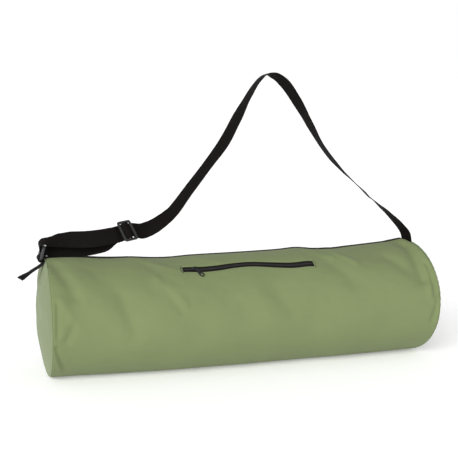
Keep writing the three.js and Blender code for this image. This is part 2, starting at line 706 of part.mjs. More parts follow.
// Stations given along and above the middle of the strap slider
function triglideStations(points) {
  const axis = new THREE.Vector3().setFromMatrixColumn(TRIGLIDE, 1);
  const side = Math.sign(axis.dot(FRONT));
  const edge = axis.multiplyScalar(side);
  return points.map(([along, above]) => ({
    place: new THREE.Vector3(along, side * SLOT_SHIFT, above).applyMatrix4(TRIGLIDE),
    edge,
  }));
}

// Over the middle bar and under both end bars
function throughTriglide() {
  const over = SEWN_RADIUS + WEB_THICKNESS + WEB_SLACK;
  const half = [
    [SLOT_OUTER + 6, UNDER_LEVEL - WEB_SLACK],
    [SLOT_OUTER + 1.8, UNDER_LEVEL],
    [SLOT_OUTER - WEB_SLACK, UNDER_LEVEL + WEB_SLACK],
    [SEWN_RADIUS * 1.75, over * 0.5],
    [SEWN_RADIUS, over * 0.86],
  ];
  const back = half.map(([along, above]) => [-along, above]).reverse();
  return triglideStations([...half, [0, over], ...back]);
}

// From below the left end bar up round the middle bar, where the end is sewn
function roundMiddleBar() {
  const low = UNDER_LEVEL - WEB_THICKNESS - 2 * WEB_SLACK;
  const wrap = [];
  for (let turn = 190; turn >= -80; turn -= 30) {
    wrap.push([SEWN_RADIUS * Math.cos(radians(turn)), SEWN_RADIUS * Math.sin(radians(turn))]);
  }
  return triglideStations([
    [-SLOT_OUTER - 15, low - 5 * WEB_SLACK],
    [-SLOT_OUTER - 6, low - 2 * WEB_SLACK],
    [-SLOT_OUTER + WEB_SLACK, low],
    [-SEWN_RADIUS * 1.8, low * 0.78],
    [-SEWN_RADIUS * 1.2, low * 0.46],
    ...wrap,
  ]);
}

// The ring's frame: x across the webbing, y up in its plane, z out of its plane
const seamTop = tubePoint(-0.5, 0);
const ringMiddle = seamTop.clone().add(new THREE.Vector3(-RING_STAND, -seamTop.y, RING_RISE));
const ringUp = new THREE.Vector3(Math.sin(radians(RING_LEAN)), 0, Math.cos(radians(RING_LEAN)));

function ringFrame() {
  const across = FRONT.clone();
  const out = new THREE.Vector3().crossVectors(across, ringUp);
  return new THREE.Matrix4().makeBasis(across, ringUp, out).setPosition(ringMiddle);
}

// Stations round a bar that runs along Y, from one angle to another; 0 is +X and 90 is up.
// The near edge can draw in towards the bar by a tilt, which turns to its opposite on the way.
function roundBar(centre, radius, fromDeg, toDeg, count, tilt = 0) {
  const stations = [];
  for (let i = 0; i <= count; i += 1) {
    const turn = radians(fromDeg + (toDeg - fromDeg) * i / count);
    const out = new THREE.Vector3(Math.cos(turn), 0, Math.sin(turn));
    const place = centre.clone().addScaledVector(out, radius);
    const lean = radians(tilt * (1 - 2 * i / count));
    const edge = FRONT.clone().multiplyScalar(Math.cos(lean)).addScaledVector(out, -Math.sin(lean));
    stations.push({ place, edge });
  }
  return stations;
}

const WRAP_RADIUS = Math.hypot(RING_BAR, RING_THICKNESS) / 2 + WEB_SLACK + WEB_HALF;
const ringBarOffset = RING_HEIGHT / 2 - RING_BAR / 2;
const ringTopBar = ringMiddle.clone().addScaledVector(ringUp, ringBarOffset);
const ringLowBar = ringMiddle.clone().addScaledVector(ringUp, -ringBarOffset);
const looseLoop = ringTopBar.clone().add(new THREE.Vector3(LOOP_SHIFT, 0, -WEB_SLACK));

function shoulderStrap() {
  const stations = [
    ...stationsOf(ARCH),
    ...throughTriglide(),
    ...stationsOf(UPPER_LAYER),
    ...roundBar(looseLoop, LOOP_RADIUS, 75, 265, 6, LOOP_TILT),
    ...stationsOf(LOWER_LAYER),
    ...roundMiddleBar(),
  ];
  return webbing(stations, WEB_WIDTH, WEB_THICKNESS, WEB_STEP);
}

function strapSlider() {
  const outline = new THREE.Shape();
  roundedRectangle(outline, TRIGLIDE_LENGTH, TRIGLIDE_WIDTH, 3.5);
  const slotLength = SLOT_OUTER - BAR_HALF;
  const slotWidth = WEB_WIDTH + 2 * SLOT_SPARE;
  const middle = (SLOT_OUTER + BAR_HALF) / 2;
  for (const side of [-1, 1]) {
    outline.holes.push(roundedRectangle(new THREE.Path(), slotLength, slotWidth, 0.8, side * middle));
  }
  return plate(outline, TRIGLIDE_THICKNESS);
}

function strapRing() {
  const outline = new THREE.Shape();
  roundedRectangle(outline, RING_WIDTH, RING_HEIGHT, 6);
  const hole = roundedRectangle(new THREE.Path(), RING_WIDTH - 2 * RING_BAR, RING_HEIGHT - 2 * RING_BAR, 2.5);
  outline.holes.push(hole);
  return plate(outline, RING_THICKNESS);
}

// Stations of webbing that is sewn into the left seam
function seamStations(rows) {
  return rows.map(({ out, up, toFront = 0, edgeOut = 0, edgeUp = 0 }) => ({
    place: new THREE.Vector3(seamTop.x - out, -toFront, seamTop.z + up),
    edge: new THREE.Vector3(-edgeOut, -1, edgeUp).normalize(),
  }));
}

// The anchor: webbing from the left seam round the ring's lower bar and back to the seam
function anchorLoop() {
  const wrap = roundBar(ringLowBar, WRAP_RADIUS, 70, 305, 7);
  const stations = [...seamStations(ANCHOR_OUT), ...wrap, ...seamStations(ANCHOR_BACK)];
  return webbing(stations, ANCHOR_WIDTH, WEB_THICKNESS, WEB_STEP);
}

// Colours and surfaces

function surface(color, roughness, metalness = 0) {
  return new THREE.MeshStandardMaterial({ color, roughness, metalness });
}

const MATERIALS = {
  cloth: surface(0x879670, 0.9),
  cloth_end: surface(0x94a37c, 0.9),
  webbing: surface(0x1f1c1b, 0.85),
  zip: surface(0x26231f, 0.6),
  metal: surface(0x4a4a4c, 0.4, 0.8),
  plastic: surface(0x2c2d2e, 0.45),
};

const bag = new THREE.Group();
bag.name = "yoga_mat_bag";

function add(name, geometry, material, matrix) {
  const mesh = new THREE.Mesh(geometry, MATERIALS[material]);
  mesh.name = name;
  if (matrix) mesh.applyMatrix4(matrix);
  bag.add(mesh);
}

add("body_panel", bodyPanel(), "cloth");
add("end_panel_left", endPanel(-1), "cloth_end");
add("end_panel_right", endPanel(1), "cloth_end");

add("main_zip_tape_front", stripUnderCloth(MAIN_PLACES, MAIN_ZIP_LINE, tapeProfile(1)), "zip");
add("main_zip_tape_back", stripUnderCloth(MAIN_PLACES, MAIN_ZIP_LINE, tapeProfile(-1)), "zip");
add("main_zip_coil", stripUnderCloth(MAIN_PLACES, MAIN_ZIP_LINE, coilProfile()), "zip");
add("pocket_zip_tape_upper", stripUnderCloth(TAPE_PLACES, POCKET_LINE, tapeProfile(-1)), "zip");
add("pocket_zip_tape_lower", stripUnderCloth(TAPE_PLACES, POCKET_LINE, tapeProfile(1)), "zip");
add("pocket_zip_coil", stripUnderCloth(WINDOW_PLACES, POCKET_LINE, coilProfile()), "zip");

const mainSliderAt = -0.5 + MAIN_SLIDER_INSET / BAG_LENGTH;
const pocketSliderAt = POCKET_LEFT + POCKET_SLIDER_INSET / BAG_LENGTH;
const sliderPlaces = [
  { name: "main_zip", at: mainSliderAt, line: MAIN_ZIP_LINE, swing: -12, dip: 9 },
  { name: "pocket_zip", at: pocketSliderAt, line: POCKET_LINE, swing: -62, dip: 9 },
];
for (const { name, at, line, swing, dip } of sliderPlaces) {
  const frame = clothFrame(at, column(line, "deg", at), -SEAM_GAP);
  add(`${name}_slider`, zipSlider(), "metal", frame);
  add(`${name}_pull`, zipPull(), "metal", pullMatrix(frame, swing, dip));
}

add("shoulder_strap", shoulderStrap(), "webbing");
add("strap_slider", strapSlider(), "plastic", TRIGLIDE);
add("strap_ring", strapRing(), "plastic", ringFrame());
add("anchor_loop", anchorLoop(), "webbing");
add("zip_end_tab", webbing(seamStations(TAB_LINE), TAB_WIDTH, TAB_THICKNESS, WEB_STEP / 2), "webbing");

export default bag;
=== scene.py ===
# %% [markdown]
# # A yoga mat bag, made piece by piece in Blender
# The bag is a tube of green canvas with two round ends. It has a long zip on top, a short zip for
# a pocket on its front, and a black webbing strap that stands up in an arch.
# The fixed frame comes first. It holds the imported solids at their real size, and every piece below is
# made in the same metres, so nothing has to be fitted afterwards.

# %% Load the fixed frame
import math

import bmesh
import bpy
import numpy as np
from mathutils import Matrix


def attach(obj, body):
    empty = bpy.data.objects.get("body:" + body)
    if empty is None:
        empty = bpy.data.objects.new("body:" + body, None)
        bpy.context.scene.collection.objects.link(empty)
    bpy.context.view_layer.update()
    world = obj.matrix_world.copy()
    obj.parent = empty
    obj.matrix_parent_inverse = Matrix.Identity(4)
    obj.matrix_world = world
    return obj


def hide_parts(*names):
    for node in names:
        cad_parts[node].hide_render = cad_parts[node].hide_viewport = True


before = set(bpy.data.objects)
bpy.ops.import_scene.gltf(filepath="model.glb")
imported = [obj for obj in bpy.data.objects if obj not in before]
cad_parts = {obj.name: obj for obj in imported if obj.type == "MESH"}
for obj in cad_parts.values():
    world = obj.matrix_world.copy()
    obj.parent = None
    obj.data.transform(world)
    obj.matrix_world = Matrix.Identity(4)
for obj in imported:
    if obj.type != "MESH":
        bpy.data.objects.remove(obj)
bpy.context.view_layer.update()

MM = 0.001

# %% [markdown]
# ## The camera
# A product photo is taken from far off with a long lens, so that the bag keeps its shape.
# The place and the lens were worked out once from the two round ends of the bag. They are set before
# anything else, so that each piece can be looked at as soon as it is there.

# %% Put up the camera
CAMERA_LENS = 78.6               # millimetres, on a sensor 36 mm wide
CAMERA_AZIMUTH = -15.6           # degrees to the left of straight in front
CAMERA_ELEVATION = 8.9
CAMERA_PLACE = (-0.4849, -1.6955, 0.5161)

camera = bpy.data.objects.new("camera", bpy.data.cameras.new("camera"))
camera.data.lens = CAMERA_LENS
camera.data.sensor_width = 36
camera.location = CAMERA_PLACE
camera.rotation_euler = (math.radians(90 - CAMERA_ELEVATION), 0, math.radians(CAMERA_AZIMUTH))
bpy.context.collection.objects.link(camera)
bpy.context.scene.camera = camera
print("camera at", tuple(camera.location))

# %% [markdown]
# ## Tables of shares
# A sewn bag is drawn from few sizes. The lengths stand here once, and the tables below hold shares of
# them, one row for each section, fold or turn. A small reader makes named columns from the rows, and
# a smooth curve runs through each column, so that a few rows are enough for a soft shape.

# %% Read tables and run smooth curves through them
BAG_LENGTH = 672 * MM            # between the two end seams
BAG_DIAMETER = 206 * MM
BAG_RADIUS = BAG_DIAMETER / 2
CLOTH = 1.6 * MM


def table(names, rows):
    """Named columns, as a dict of arrays, from rows of plain numbers."""
    values = np.array([[float(word) for word in row.split()] for row in rows.strip().splitlines()])
    return dict(zip(names.split(), values.T))


def column(columns, name, at):
    """The smooth value of one column at places along the bag."""
    places, values = columns["at"], columns[name]
    if places[0] > places[-1]:
        places, values = places[::-1], values[::-1]
    at = np.asarray(at, float)
    i = np.clip(np.searchsorted(places, at) - 1, 0, len(places) - 2)
    before, after = np.maximum(i - 1, 0), np.minimum(i + 2, len(places) - 1)
    span = places[i + 1] - places[i]
    t = np.clip((at - places[i]) / span, 0, 1)
    slope_from = (values[i + 1] - values[before]) / (places[i + 1] - places[before]) * span
    slope_to = (values[after] - values[i]) / (places[after] - places[i]) * span
    return (
        (2 * t**3 - 3 * t**2 + 1) * values[i] + (t**3 - 2 * t**2 + t) * slope_from
        + (3 * t**2 - 2 * t**3) * values[i + 1] + (t**3 - t**2) * slope_to
    )


def smoothstep(low, high, value):
    t = np.clip((value - low) / (high - low), 0, 1)
    return t * t * (3 - 2 * t)


def unit(vectors):
    return vectors / np.maximum(np.linalg.norm(vectors, axis=-1, keepdims=True), 1e-12)


# %% [markdown]
# ## The shape of the filled tube
# The rolled mat keeps the canvas round, but the bag sags a little and rests on a flat strip.
# Each row gives the section at one place along the bag: how high it is, how far it leans to the front,
# how wide the strip is that rests, and how far the near side runs ahead, because the right end is sewn
# on askew. Angles run from the top of the section over the front.

# %% Sections of the tube
SECTIONS = table("at high sway flat skew", """
    -0.500  0.996  0.000  10  0.00
    -0.485  0.999  0.000  10  0.00
    -0.420  0.995  0.005  11  0.00
    -0.354  0.973  0.010  13  0.00
    -0.290  0.962  0.015  14  0.00
    -0.228  0.945  0.018  15  0.00
    -0.179  0.940  0.020  15  0.00
    -0.120  0.949  0.020  15  0.00
     0.000  0.952  0.020  15  0.00
     0.122  0.959  0.015  14  0.00
     0.173  0.970  0.012  14  0.00
     0.225  0.957  0.010  14  0.00
     0.314  0.959  0.008  13  0.01
     0.385  0.971  0.004  12  0.05
     0.440  0.984  0.000  11  0.11
     0.485  1.008  0.000  10  0.18
     0.500  1.000  0.000  10  0.19
""")


def tube_point(at, deg):
    high = column(SECTIONS, "high", at) * BAG_DIAMETER
    wide = 2 * BAG_DIAMETER - high
    flat = (1 - np.cos(np.radians(column(SECTIONS, "flat", at)))) / 2
    around = np.radians(deg)
    level = (1 + np.cos(around)) / 2
    y = -wide / 2 * np.sin(around) - column(SECTIONS, "sway", at) * BAG_DIAMETER
    z = high * np.maximum(0, level - flat) / (1 - flat)
    return np.stack([at * BAG_LENGTH - column(SECTIONS, "skew", at) * y, y, z], axis=-1)


def tube_directions(at, deg):
    """Unit vectors along the bag, up over its back, and out of the cloth."""
    step, turn = 0.002, 1.0
    ahead, behind = np.minimum(at + step, 0.5), np.maximum(at - step, -0.5)
    along = unit(tube_point(ahead, deg) - tube_point(behind, deg))
    around = tube_point(at, deg + turn) - tube_point(at, deg - turn)
    out = unit(np.cross(around, along))
    across = unit(np.cross(out, along))
    return along, across, out


print("girth of the round ends", round(math.pi * BAG_DIAMETER, 3), "m")

# %% [markdown]
# ## The large folds
# Canvas that holds something a bit too small falls into broad, shallow dents.
# Each row is one dent or ridge that runs from one place on the cloth to another, with a soft profile
# across it. These are the folds that the solid also has.

# %% Folds that run over the cloth
FOLDS = table("at deg to_at to_deg wide lift", """
    -0.400   30  -0.300   75  0.13  -0.016
    -0.272   12  -0.186   48  0.10   0.010
    -0.225   60  -0.150   95  0.14  -0.014
    -0.080   55   0.000   85  0.14  -0.012
     0.090   55   0.150   90  0.15  -0.013
     0.250   16   0.310   45  0.10   0.010
     0.320   55   0.370  100  0.15  -0.016
     0.470    8   0.460   62  0.09  -0.020
    -0.250  285  -0.100  320  0.15  -0.014
     0.100  270   0.220  315  0.15  -0.014
     0.350  260   0.400  300  0.14  -0.012
""")
REST_FADE = (25, 55)             # degrees from the underside over which folds die out


def turned(deg):
    """An angle brought to the range from -180 to 180 degrees."""
    return (np.asarray(deg) + 180) % 360 - 180


def fold_lift(folds, at, deg):
    to_length = math.radians(1) * BAG_RADIUS
    lift = np.zeros(np.broadcast(at, deg).shape)
    for i in range(len(folds["at"])):
        run = np.array([
            (folds["to_at"][i] - folds["at"][i]) * BAG_LENGTH,
            (folds["to_deg"][i] - folds["deg"][i]) * to_length,
        ])
        x = (at - folds["at"][i]) * BAG_LENGTH
        y = turned(deg - folds["deg"][i]) * to_length
        share = np.clip((x * run[0] + y * run[1]) / (run @ run), 0, 1)
        distance = np.hypot(x - share * run[0], y - share * run[1]) / (folds["wide"][i] * BAG_DIAMETER)
        lift = lift + folds["lift"][i] * BAG_DIAMETER * np.exp(-distance**2)
    from_rest = np.abs(np.asarray(deg) % 360 - 180)
    return lift * smoothstep(*REST_FADE, from_rest)


def cloth_point(at, deg, depth=0.0):
    """A point of the cloth, or of what lies under it by a depth."""
    out = tube_directions(at, deg)[2]
    reach = fold_lift(FOLDS, at, deg) - depth
    return tube_point(at, deg) + out * reach[..., None]


# %% [markdown]
# ## The lines of the two zips
# The long zip wanders a little to the back between its ends, because the bag rolled slightly when it was
# laid down. The pocket zip runs along the front, a third of the way round from the top to the foremost
# line of the tube. Both are kept in degrees from the top, so the cloth, the tapes and the teeth can all
# ask for the same line.

# %% Zip lines and the pocket's window
MAIN_ZIP_LINE = table("at deg", """
    -0.500   2
    -0.360   1
    -0.220  -6
     0.000  -8
     0.150  -7
     0.260   1
     0.330  -5
     0.500  -7
""")
POCKET_LINE = table("at deg", """
    -0.500  29.0
    -0.160  27.6
    -0.115  29.6
    -0.064  28.6
    -0.030  26.8
     0.019  26.2
     0.093  30.4
     0.142  33.0
     0.187  33.2
     0.500  33.0
""")
MAIN_ZIP_GAP = 8 * MM            # between the two cloth edges
POCKET_LENGTH = 236 * MM
POCKET_HEIGHT = 14 * MM
POCKET_MIDDLE = 9 * MM
POCKET_LEFT = (POCKET_MIDDLE - POCKET_LENGTH / 2) / BAG_LENGTH
POCKET_RIGHT = (POCKET_MIDDLE + POCKET_LENGTH / 2) / BAG_LENGTH


def degrees_of(arc):
    return math.degrees(arc / BAG_RADIUS)


def main_zip_distance(at, deg):
    """How far a point of the cloth lies from the cloth's edge along the long zip."""
    away = np.abs(turned(deg - column(MAIN_ZIP_LINE, "deg", at)))
    return np.radians(away) * BAG_RADIUS - MAIN_ZIP_GAP / 2


def pocket_distance(at, deg):
    """How far it lies from the window that the pocket zip shows in."""
    sideways = np.maximum(POCKET_LEFT - at, at - POCKET_RIGHT) * BAG_LENGTH
    updown = np.radians(np.abs(turned(deg - column(POCKET_LINE, "deg", at)))) * BAG_RADIUS
    return np.hypot(np.maximum(sideways, 0), np.maximum(updown - POCKET_HEIGHT / 2, 0))


print("pocket window from", round(POCKET_LEFT, 3), "to", round(POCKET_RIGHT, 3), "of the length")

# %% [markdown]
# ## Making a mesh from a grid
# Cloth, tapes and webbing are all grids of points, so one helper joins a grid into faces.
# Each point also remembers its place on the flat material, in metres along and across the threads.
# The weave is drawn from that place later, so it follows the cloth round every fold.

# %% Helpers that make pieces
def new_piece(name, points, faces, place=None):
    mesh = bpy.data.meshes.new(name)
    mesh.from_pydata(np.asarray(points, float).reshape(-1, 3).tolist(), [], [list(f) for f in faces])
    mesh.shade_smooth()
    if place is not None:
        spots = np.asarray(place, np.float32).reshape(-1, 2)
        spots = np.column_stack([spots, np.zeros(len(spots), np.float32)])
        layer = mesh.attributes.new("thread_place", "FLOAT_VECTOR", "POINT")
        layer.data.foreach_set("vector", spots.ravel())
    piece = bpy.data.objects.new(name, mesh)
    bpy.context.collection.objects.link(piece)
    return piece


def grid_faces(columns, rows, closed=False, keep=None):
    """Faces of a grid whose points run row by row inside each column."""
    faces = []
    for i in range(columns - 1):
        for j in range(rows if closed else rows - 1):
            if keep is not None and not keep(i, j):
                continue
            k = (j + 1) % rows
            faces.append((i * rows + j, i * rows + k, (i + 1) * rows + k, (i + 1) * rows + j))
    return faces


def tube_faces(rings, sides):
    """Faces of a tube of rings, with a lid at each end."""
    count = rings * sides
    lids = [tuple(range(sides))[::-1], tuple(range(count - sides, count))]
    return grid_faces(rings, sides, closed=True) + lids


def repeated(faces, count, size, start=0):
    """The faces of many equal parts whose points follow each other."""
    return [tuple(start + k * size + v for v in face) for k in range(count) for face in faces]


def thicken(piece):
    """Give canvas its thickness, inwards from the side that shows."""
    wall = piece.modifiers.new("canvas thickness", "SOLIDIFY")
    wall.thickness = CLOTH
    wall.offset = -1


def axes_matrix(x, y, z, origin):
    matrix = Matrix.Identity(4)
    for k, axis in enumerate((x, y, z, origin)):
        matrix.col[k][:3] = axis
    return matrix


def sew_on(piece, slot, *nodes):
    """The piece rides on the bag and stands for the plain solids; the slot is not used."""
    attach(piece, "root")
    if nodes:
        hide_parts(*nodes)
    faces = sum(len(polygon.vertices) - 2 for polygon in piece.data.polygons)
    print(f"{piece.name}: {faces} triangles")
    return piece


def spaced(*knots):
    """Places between knots of (value, cells), each stretch cut into equal steps."""
    places = []
    for (value, cells), (following, _) in zip(knots, knots[1:]):
        places += [value + (following - value) * i / cells for i in range(cells)]
    return np.array(places + [knots[-1][0]])


# %% [markdown]
# ## The grid of the canvas
# The body of the bag is one panel of canvas, wrapped round from the front edge of the long zip to its
# back edge. The grid is close near the hems and seams, where the cloth turns sharply, and wider on
# the plain stretches. The pocket's window is a block of cells that is left open.

# %% Columns along the bag and rows round it
HEM = 5 * MM                     # width of a turned and stitched edge
SEAM_BAND = 12 * MM              # length of cloth that puckers at an end seam

hem, band = HEM / BAG_LENGTH, SEAM_BAND / BAG_LENGTH
columns_at = spaced(
    (-0.5, 3), (-0.5 + band / 3, 4), (-0.5 + band, 66), (POCKET_LEFT - hem, 5), (POCKET_LEFT, 72),
    (POCKET_RIGHT, 5), (POCKET_RIGHT + hem, 60), (0.5 - band, 4), (0.5 - band / 3, 3), (0.5, 0),
)
ROW_CELLS = [6, 7, 5, 4, 5, 62, 8, 76, 6]
pocket_rows = range(sum(ROW_CELLS[:3]), sum(ROW_CELLS[:4]))


def row_degrees(at):
    zip_line, pocket = column(MAIN_ZIP_LINE, "deg", at), column(POCKET_LINE, "deg", at)
    flat = column(SECTIONS, "flat", at)
    zip_half, pocket_half = degrees_of(MAIN_ZIP_GAP / 2), degrees_of(POCKET_HEIGHT / 2)
    reach = degrees_of(HEM)
    edges = [
        zip_line + zip_half, zip_line + zip_half + reach,
        pocket - pocket_half - reach, pocket - pocket_half,
        pocket + pocket_half, pocket + pocket_half + reach,
        180 - flat, 180 + flat,
        360 + zip_line - zip_half - reach, 360 + zip_line - zip_half,
    ]
    return spaced(*zip(edges, ROW_CELLS + [0]))


deg_grid = np.array([row_degrees(at) for at in columns_at])
at_grid = np.repeat(columns_at[:, None], deg_grid.shape[1], axis=1)
window_left = int(np.argmin(np.abs(columns_at - POCKET_LEFT)))
window_right = int(np.argmin(np.abs(columns_at - POCKET_RIGHT)))
print("grid of", at_grid.shape, "points")

# %% [markdown]
# ## Hems, seams and small creases
# Where canvas is sewn it is thicker and stiffer, so an edge looks rolled, the line of stitches lies in a
# shallow channel, and the cloth beside it puckers. At the two ends the panel dips into the seam.
# These reliefs are short formulas of the distance to a zip or a seam, added along the cloth's normal.
# Fine creases come from a second table of folds, placed where the real bag has them.

# %% Relief of the hems, the seams and the fine creases
HEM_ROLL = 1.1 * MM
STITCH_INSET = 2.6 * MM          # from a cloth edge to its line of stitches
STITCH_CHANNEL = 0.35 * MM
CHANNEL_WIDTH = 0.9 * MM
PUCKER_PITCH = 9 * MM
PUCKER_HEIGHT = 0.22 * MM
PUCKER_REACH = 5 * MM            # over which puckers fade, from the stitches into the cloth
GATHER_REACH = 9 * MM            # the same from an end seam
SEAM_DIP = 0.8 * MM
SEAM_DIP_LENGTH = 3 * MM
SEAM_PUCKER = 0.55 * MM
ZIP_CALM = 14 * MM               # round a zip, where the cloth is held smooth
BROAD_DRIFT = 0.5 * MM           # height of the slow unevenness of the cloth
FINE_DRIFT = 0.16 * MM
BROAD_WAVE = 90 * MM
FINE_WAVE = 24 * MM
DRIFT_FREE = 20 * MM             # from an end seam, where the unevenness is there in full
CREASES = table("at deg to_at to_deg wide lift", """
    -0.484   20  -0.440   60  0.057 -0.020
    -0.478   64  -0.446   84  0.040  0.013
    -0.486   66  -0.489   96  0.016 -0.010
    -0.448   86  -0.466  100  0.032 -0.015
    -0.494  108  -0.468  138  0.021 -0.013
    -0.500  106  -0.480  138  0.016  0.008
    -0.280    8  -0.160   32  0.030  0.011
    -0.262   20  -0.190   44  0.046 -0.007
    -0.232   40  -0.172   68  0.034  0.011
    -0.222   44  -0.180   74  0.039 -0.009
    -0.330   60  -0.300   96  0.060 -0.015
    -0.112   10  -0.040   24  0.022  0.015
     0.190   10   0.246   25  0.028  0.013
     0.250   15   0.304   34  0.032  0.013
     0.236   34   0.290   58  0.069 -0.011
     0.060   60   0.110   84  0.070 -0.012
     0.474    9   0.470   62  0.055 -0.033
     0.490   46   0.487   80  0.018 -0.018
     0.482   48   0.478   80  0.020  0.012
     0.497   80   0.484  106  0.018 -0.015
     0.400   30   0.440   52  0.050 -0.012
     0.385   28   0.440   44  0.150 -0.018
""")


def ripple(along, across, seed, length, count=7):
    """Gentle uneven waves of about one length, the same on every run."""
    draw = np.random.default_rng(seed)
    total = np.zeros(np.broadcast(along, across).shape)
    for _ in range(count):
        way, size = draw.uniform(0, 2 * math.pi), draw.uniform(0.6, 1.5)
        start = draw.uniform(0, 2 * math.pi)
        forward = along * math.cos(way) + across * math.sin(way)
        total += np.sin(2 * math.pi * forward / (length * size) + start)
    return total / math.sqrt(count)


def hem_relief(distance, along):
    """Rolled edge, stitch channel and puckers at a distance from a cloth edge."""
    inside = np.clip(HEM_ROLL - distance, 0, HEM_ROLL)
    rolled = np.sqrt(np.maximum(HEM_ROLL**2 - inside**2, 0)) - HEM_ROLL
    channel = -STITCH_CHANNEL * np.exp(-((distance - STITCH_INSET) / CHANNEL_WIDTH) ** 2)
    beyond = np.maximum(distance - STITCH_INSET, 0)
    fade = np.exp(-beyond / PUCKER_REACH) * smoothstep(0, STITCH_INSET, distance)
    wave = np.sin(2 * math.pi * along / PUCKER_PITCH + 1.3 * ripple(along, 0, 3, 40 * MM))
    return rolled + channel + PUCKER_HEIGHT * wave * fade


def relief(at, deg):
    along = at * BAG_LENGTH
    around = np.radians(deg) * BAG_RADIUS
    from_end = (0.5 - np.abs(at)) * BAG_LENGTH
    dip = -SEAM_DIP * np.clip(1 - from_end / SEAM_DIP_LENGTH, 0, 1) ** 2
    gather = np.sin(2 * math.pi * around / (PUCKER_PITCH * 1.3) + 2 * ripple(around, along, 5, 60 * MM))
    free = smoothstep(0, 3 * MM, from_end) * np.exp(-from_end / GATHER_REACH)
    from_rest = np.abs(np.asarray(deg) % 360 - 180)
    free = free * smoothstep(10, 30, from_rest)
    sewn = hem_relief(main_zip_distance(at, deg), along) + hem_relief(pocket_distance(at, deg), along)
    calm = smoothstep(0, ZIP_CALM, main_zip_distance(at, deg))
    calm = calm * smoothstep(0, ZIP_CALM, pocket_distance(at, deg))
    drift = BROAD_DRIFT * ripple(along, around, 8, BROAD_WAVE)
    drift = drift + FINE_DRIFT * ripple(along, around, 9, FINE_WAVE)
    drift = drift * smoothstep(15, 45, from_rest) * smoothstep(0, DRIFT_FREE, from_end)
    return dip + SEAM_PUCKER * gather * free + sewn + calm * (fold_lift(CREASES, at, deg) + drift)


smooth_canvas = cloth_point(at_grid, deg_grid)
normals = tube_directions(at_grid, deg_grid)[2]
body_points = smooth_canvas + normals * relief(at_grid, deg_grid)[..., None]
body_points[..., 2] = np.maximum(body_points[..., 2], 0)
low_corner = body_points.min((0, 1)).round(4)
high_corner = body_points.max((0, 1)).round(4)
print("the canvas spans", low_corner, "to", high_corner)

# %% [markdown]
# ## The body panel
# The outer side of the canvas is the grid. A Solidify modifier gives it the thickness inwards, with a
# rim at every edge, so the inside of the bag and the cut of the pocket's window are there too.

# %% Make the body panel
def is_cloth(i, j):
    """Whether a cell of the grid is canvas, and not the window of the pocket."""
    return j not in pocket_rows or not window_left <= i < window_right


body = new_piece(
    "body_canvas", body_points,
    grid_faces(*at_grid.shape, keep=is_cloth),
    np.stack([at_grid * BAG_LENGTH, np.radians(deg_grid) * BAG_RADIUS], axis=-1),
)
thicken(body)
sew_on(body, "green_cloth", "body_panel")

# %% [markdown]
# ## The two round ends
# Each end is a disc of the same canvas, cut a little large and eased into the seam.
# It therefore bulges out, and small gathers run in from its rim. It is made of rings that shrink from
# the seam to the middle. The gathers are waves round the rim that fade towards the middle, with some
# deeper ones under the strap's anchor on the left.

# %% Make the ends
END_DOME = 14 * MM
DOME_POWER = 2.6                 # how late the bulge falls off towards the seam
SEAM_GAP = 0.3 * MM
RING_SHARES = np.array([1, 0.994, 0.985, 0.972, 0.955, 0.93, 0.90, 0.86, 0.82, 0.77, 0.71, 0.64, 0.56,
                        0.47, 0.38, 0.29, 0.20, 0.11, 0.03])
END_STEPS = 200
RIM_GATHER = 0.5 * MM
RIM_REACH = 10 * MM              # over which the fine gathers fade, from the rim inwards
GATHER_DEPTH = 38 * MM           # the same for the gathers of the table
END_DRIFT = 0.7 * MM
GATHERS = table("side deg wide lift", """
    -1    8   5  -2.2
    -1   17   4   1.6
    -1   27   6  -2.0
    -1   40   7   1.0
    -1  -12   6  -1.8
    -1  -24   6   1.2
     1    4   6  -1.6
     1   18   6   1.4
     1  -14   7  -1.6
     1   95   9  -1.0
     1 -110  10  -1.1
    -1  120   9  -0.9
    -1 -100  10  -1.0
""")


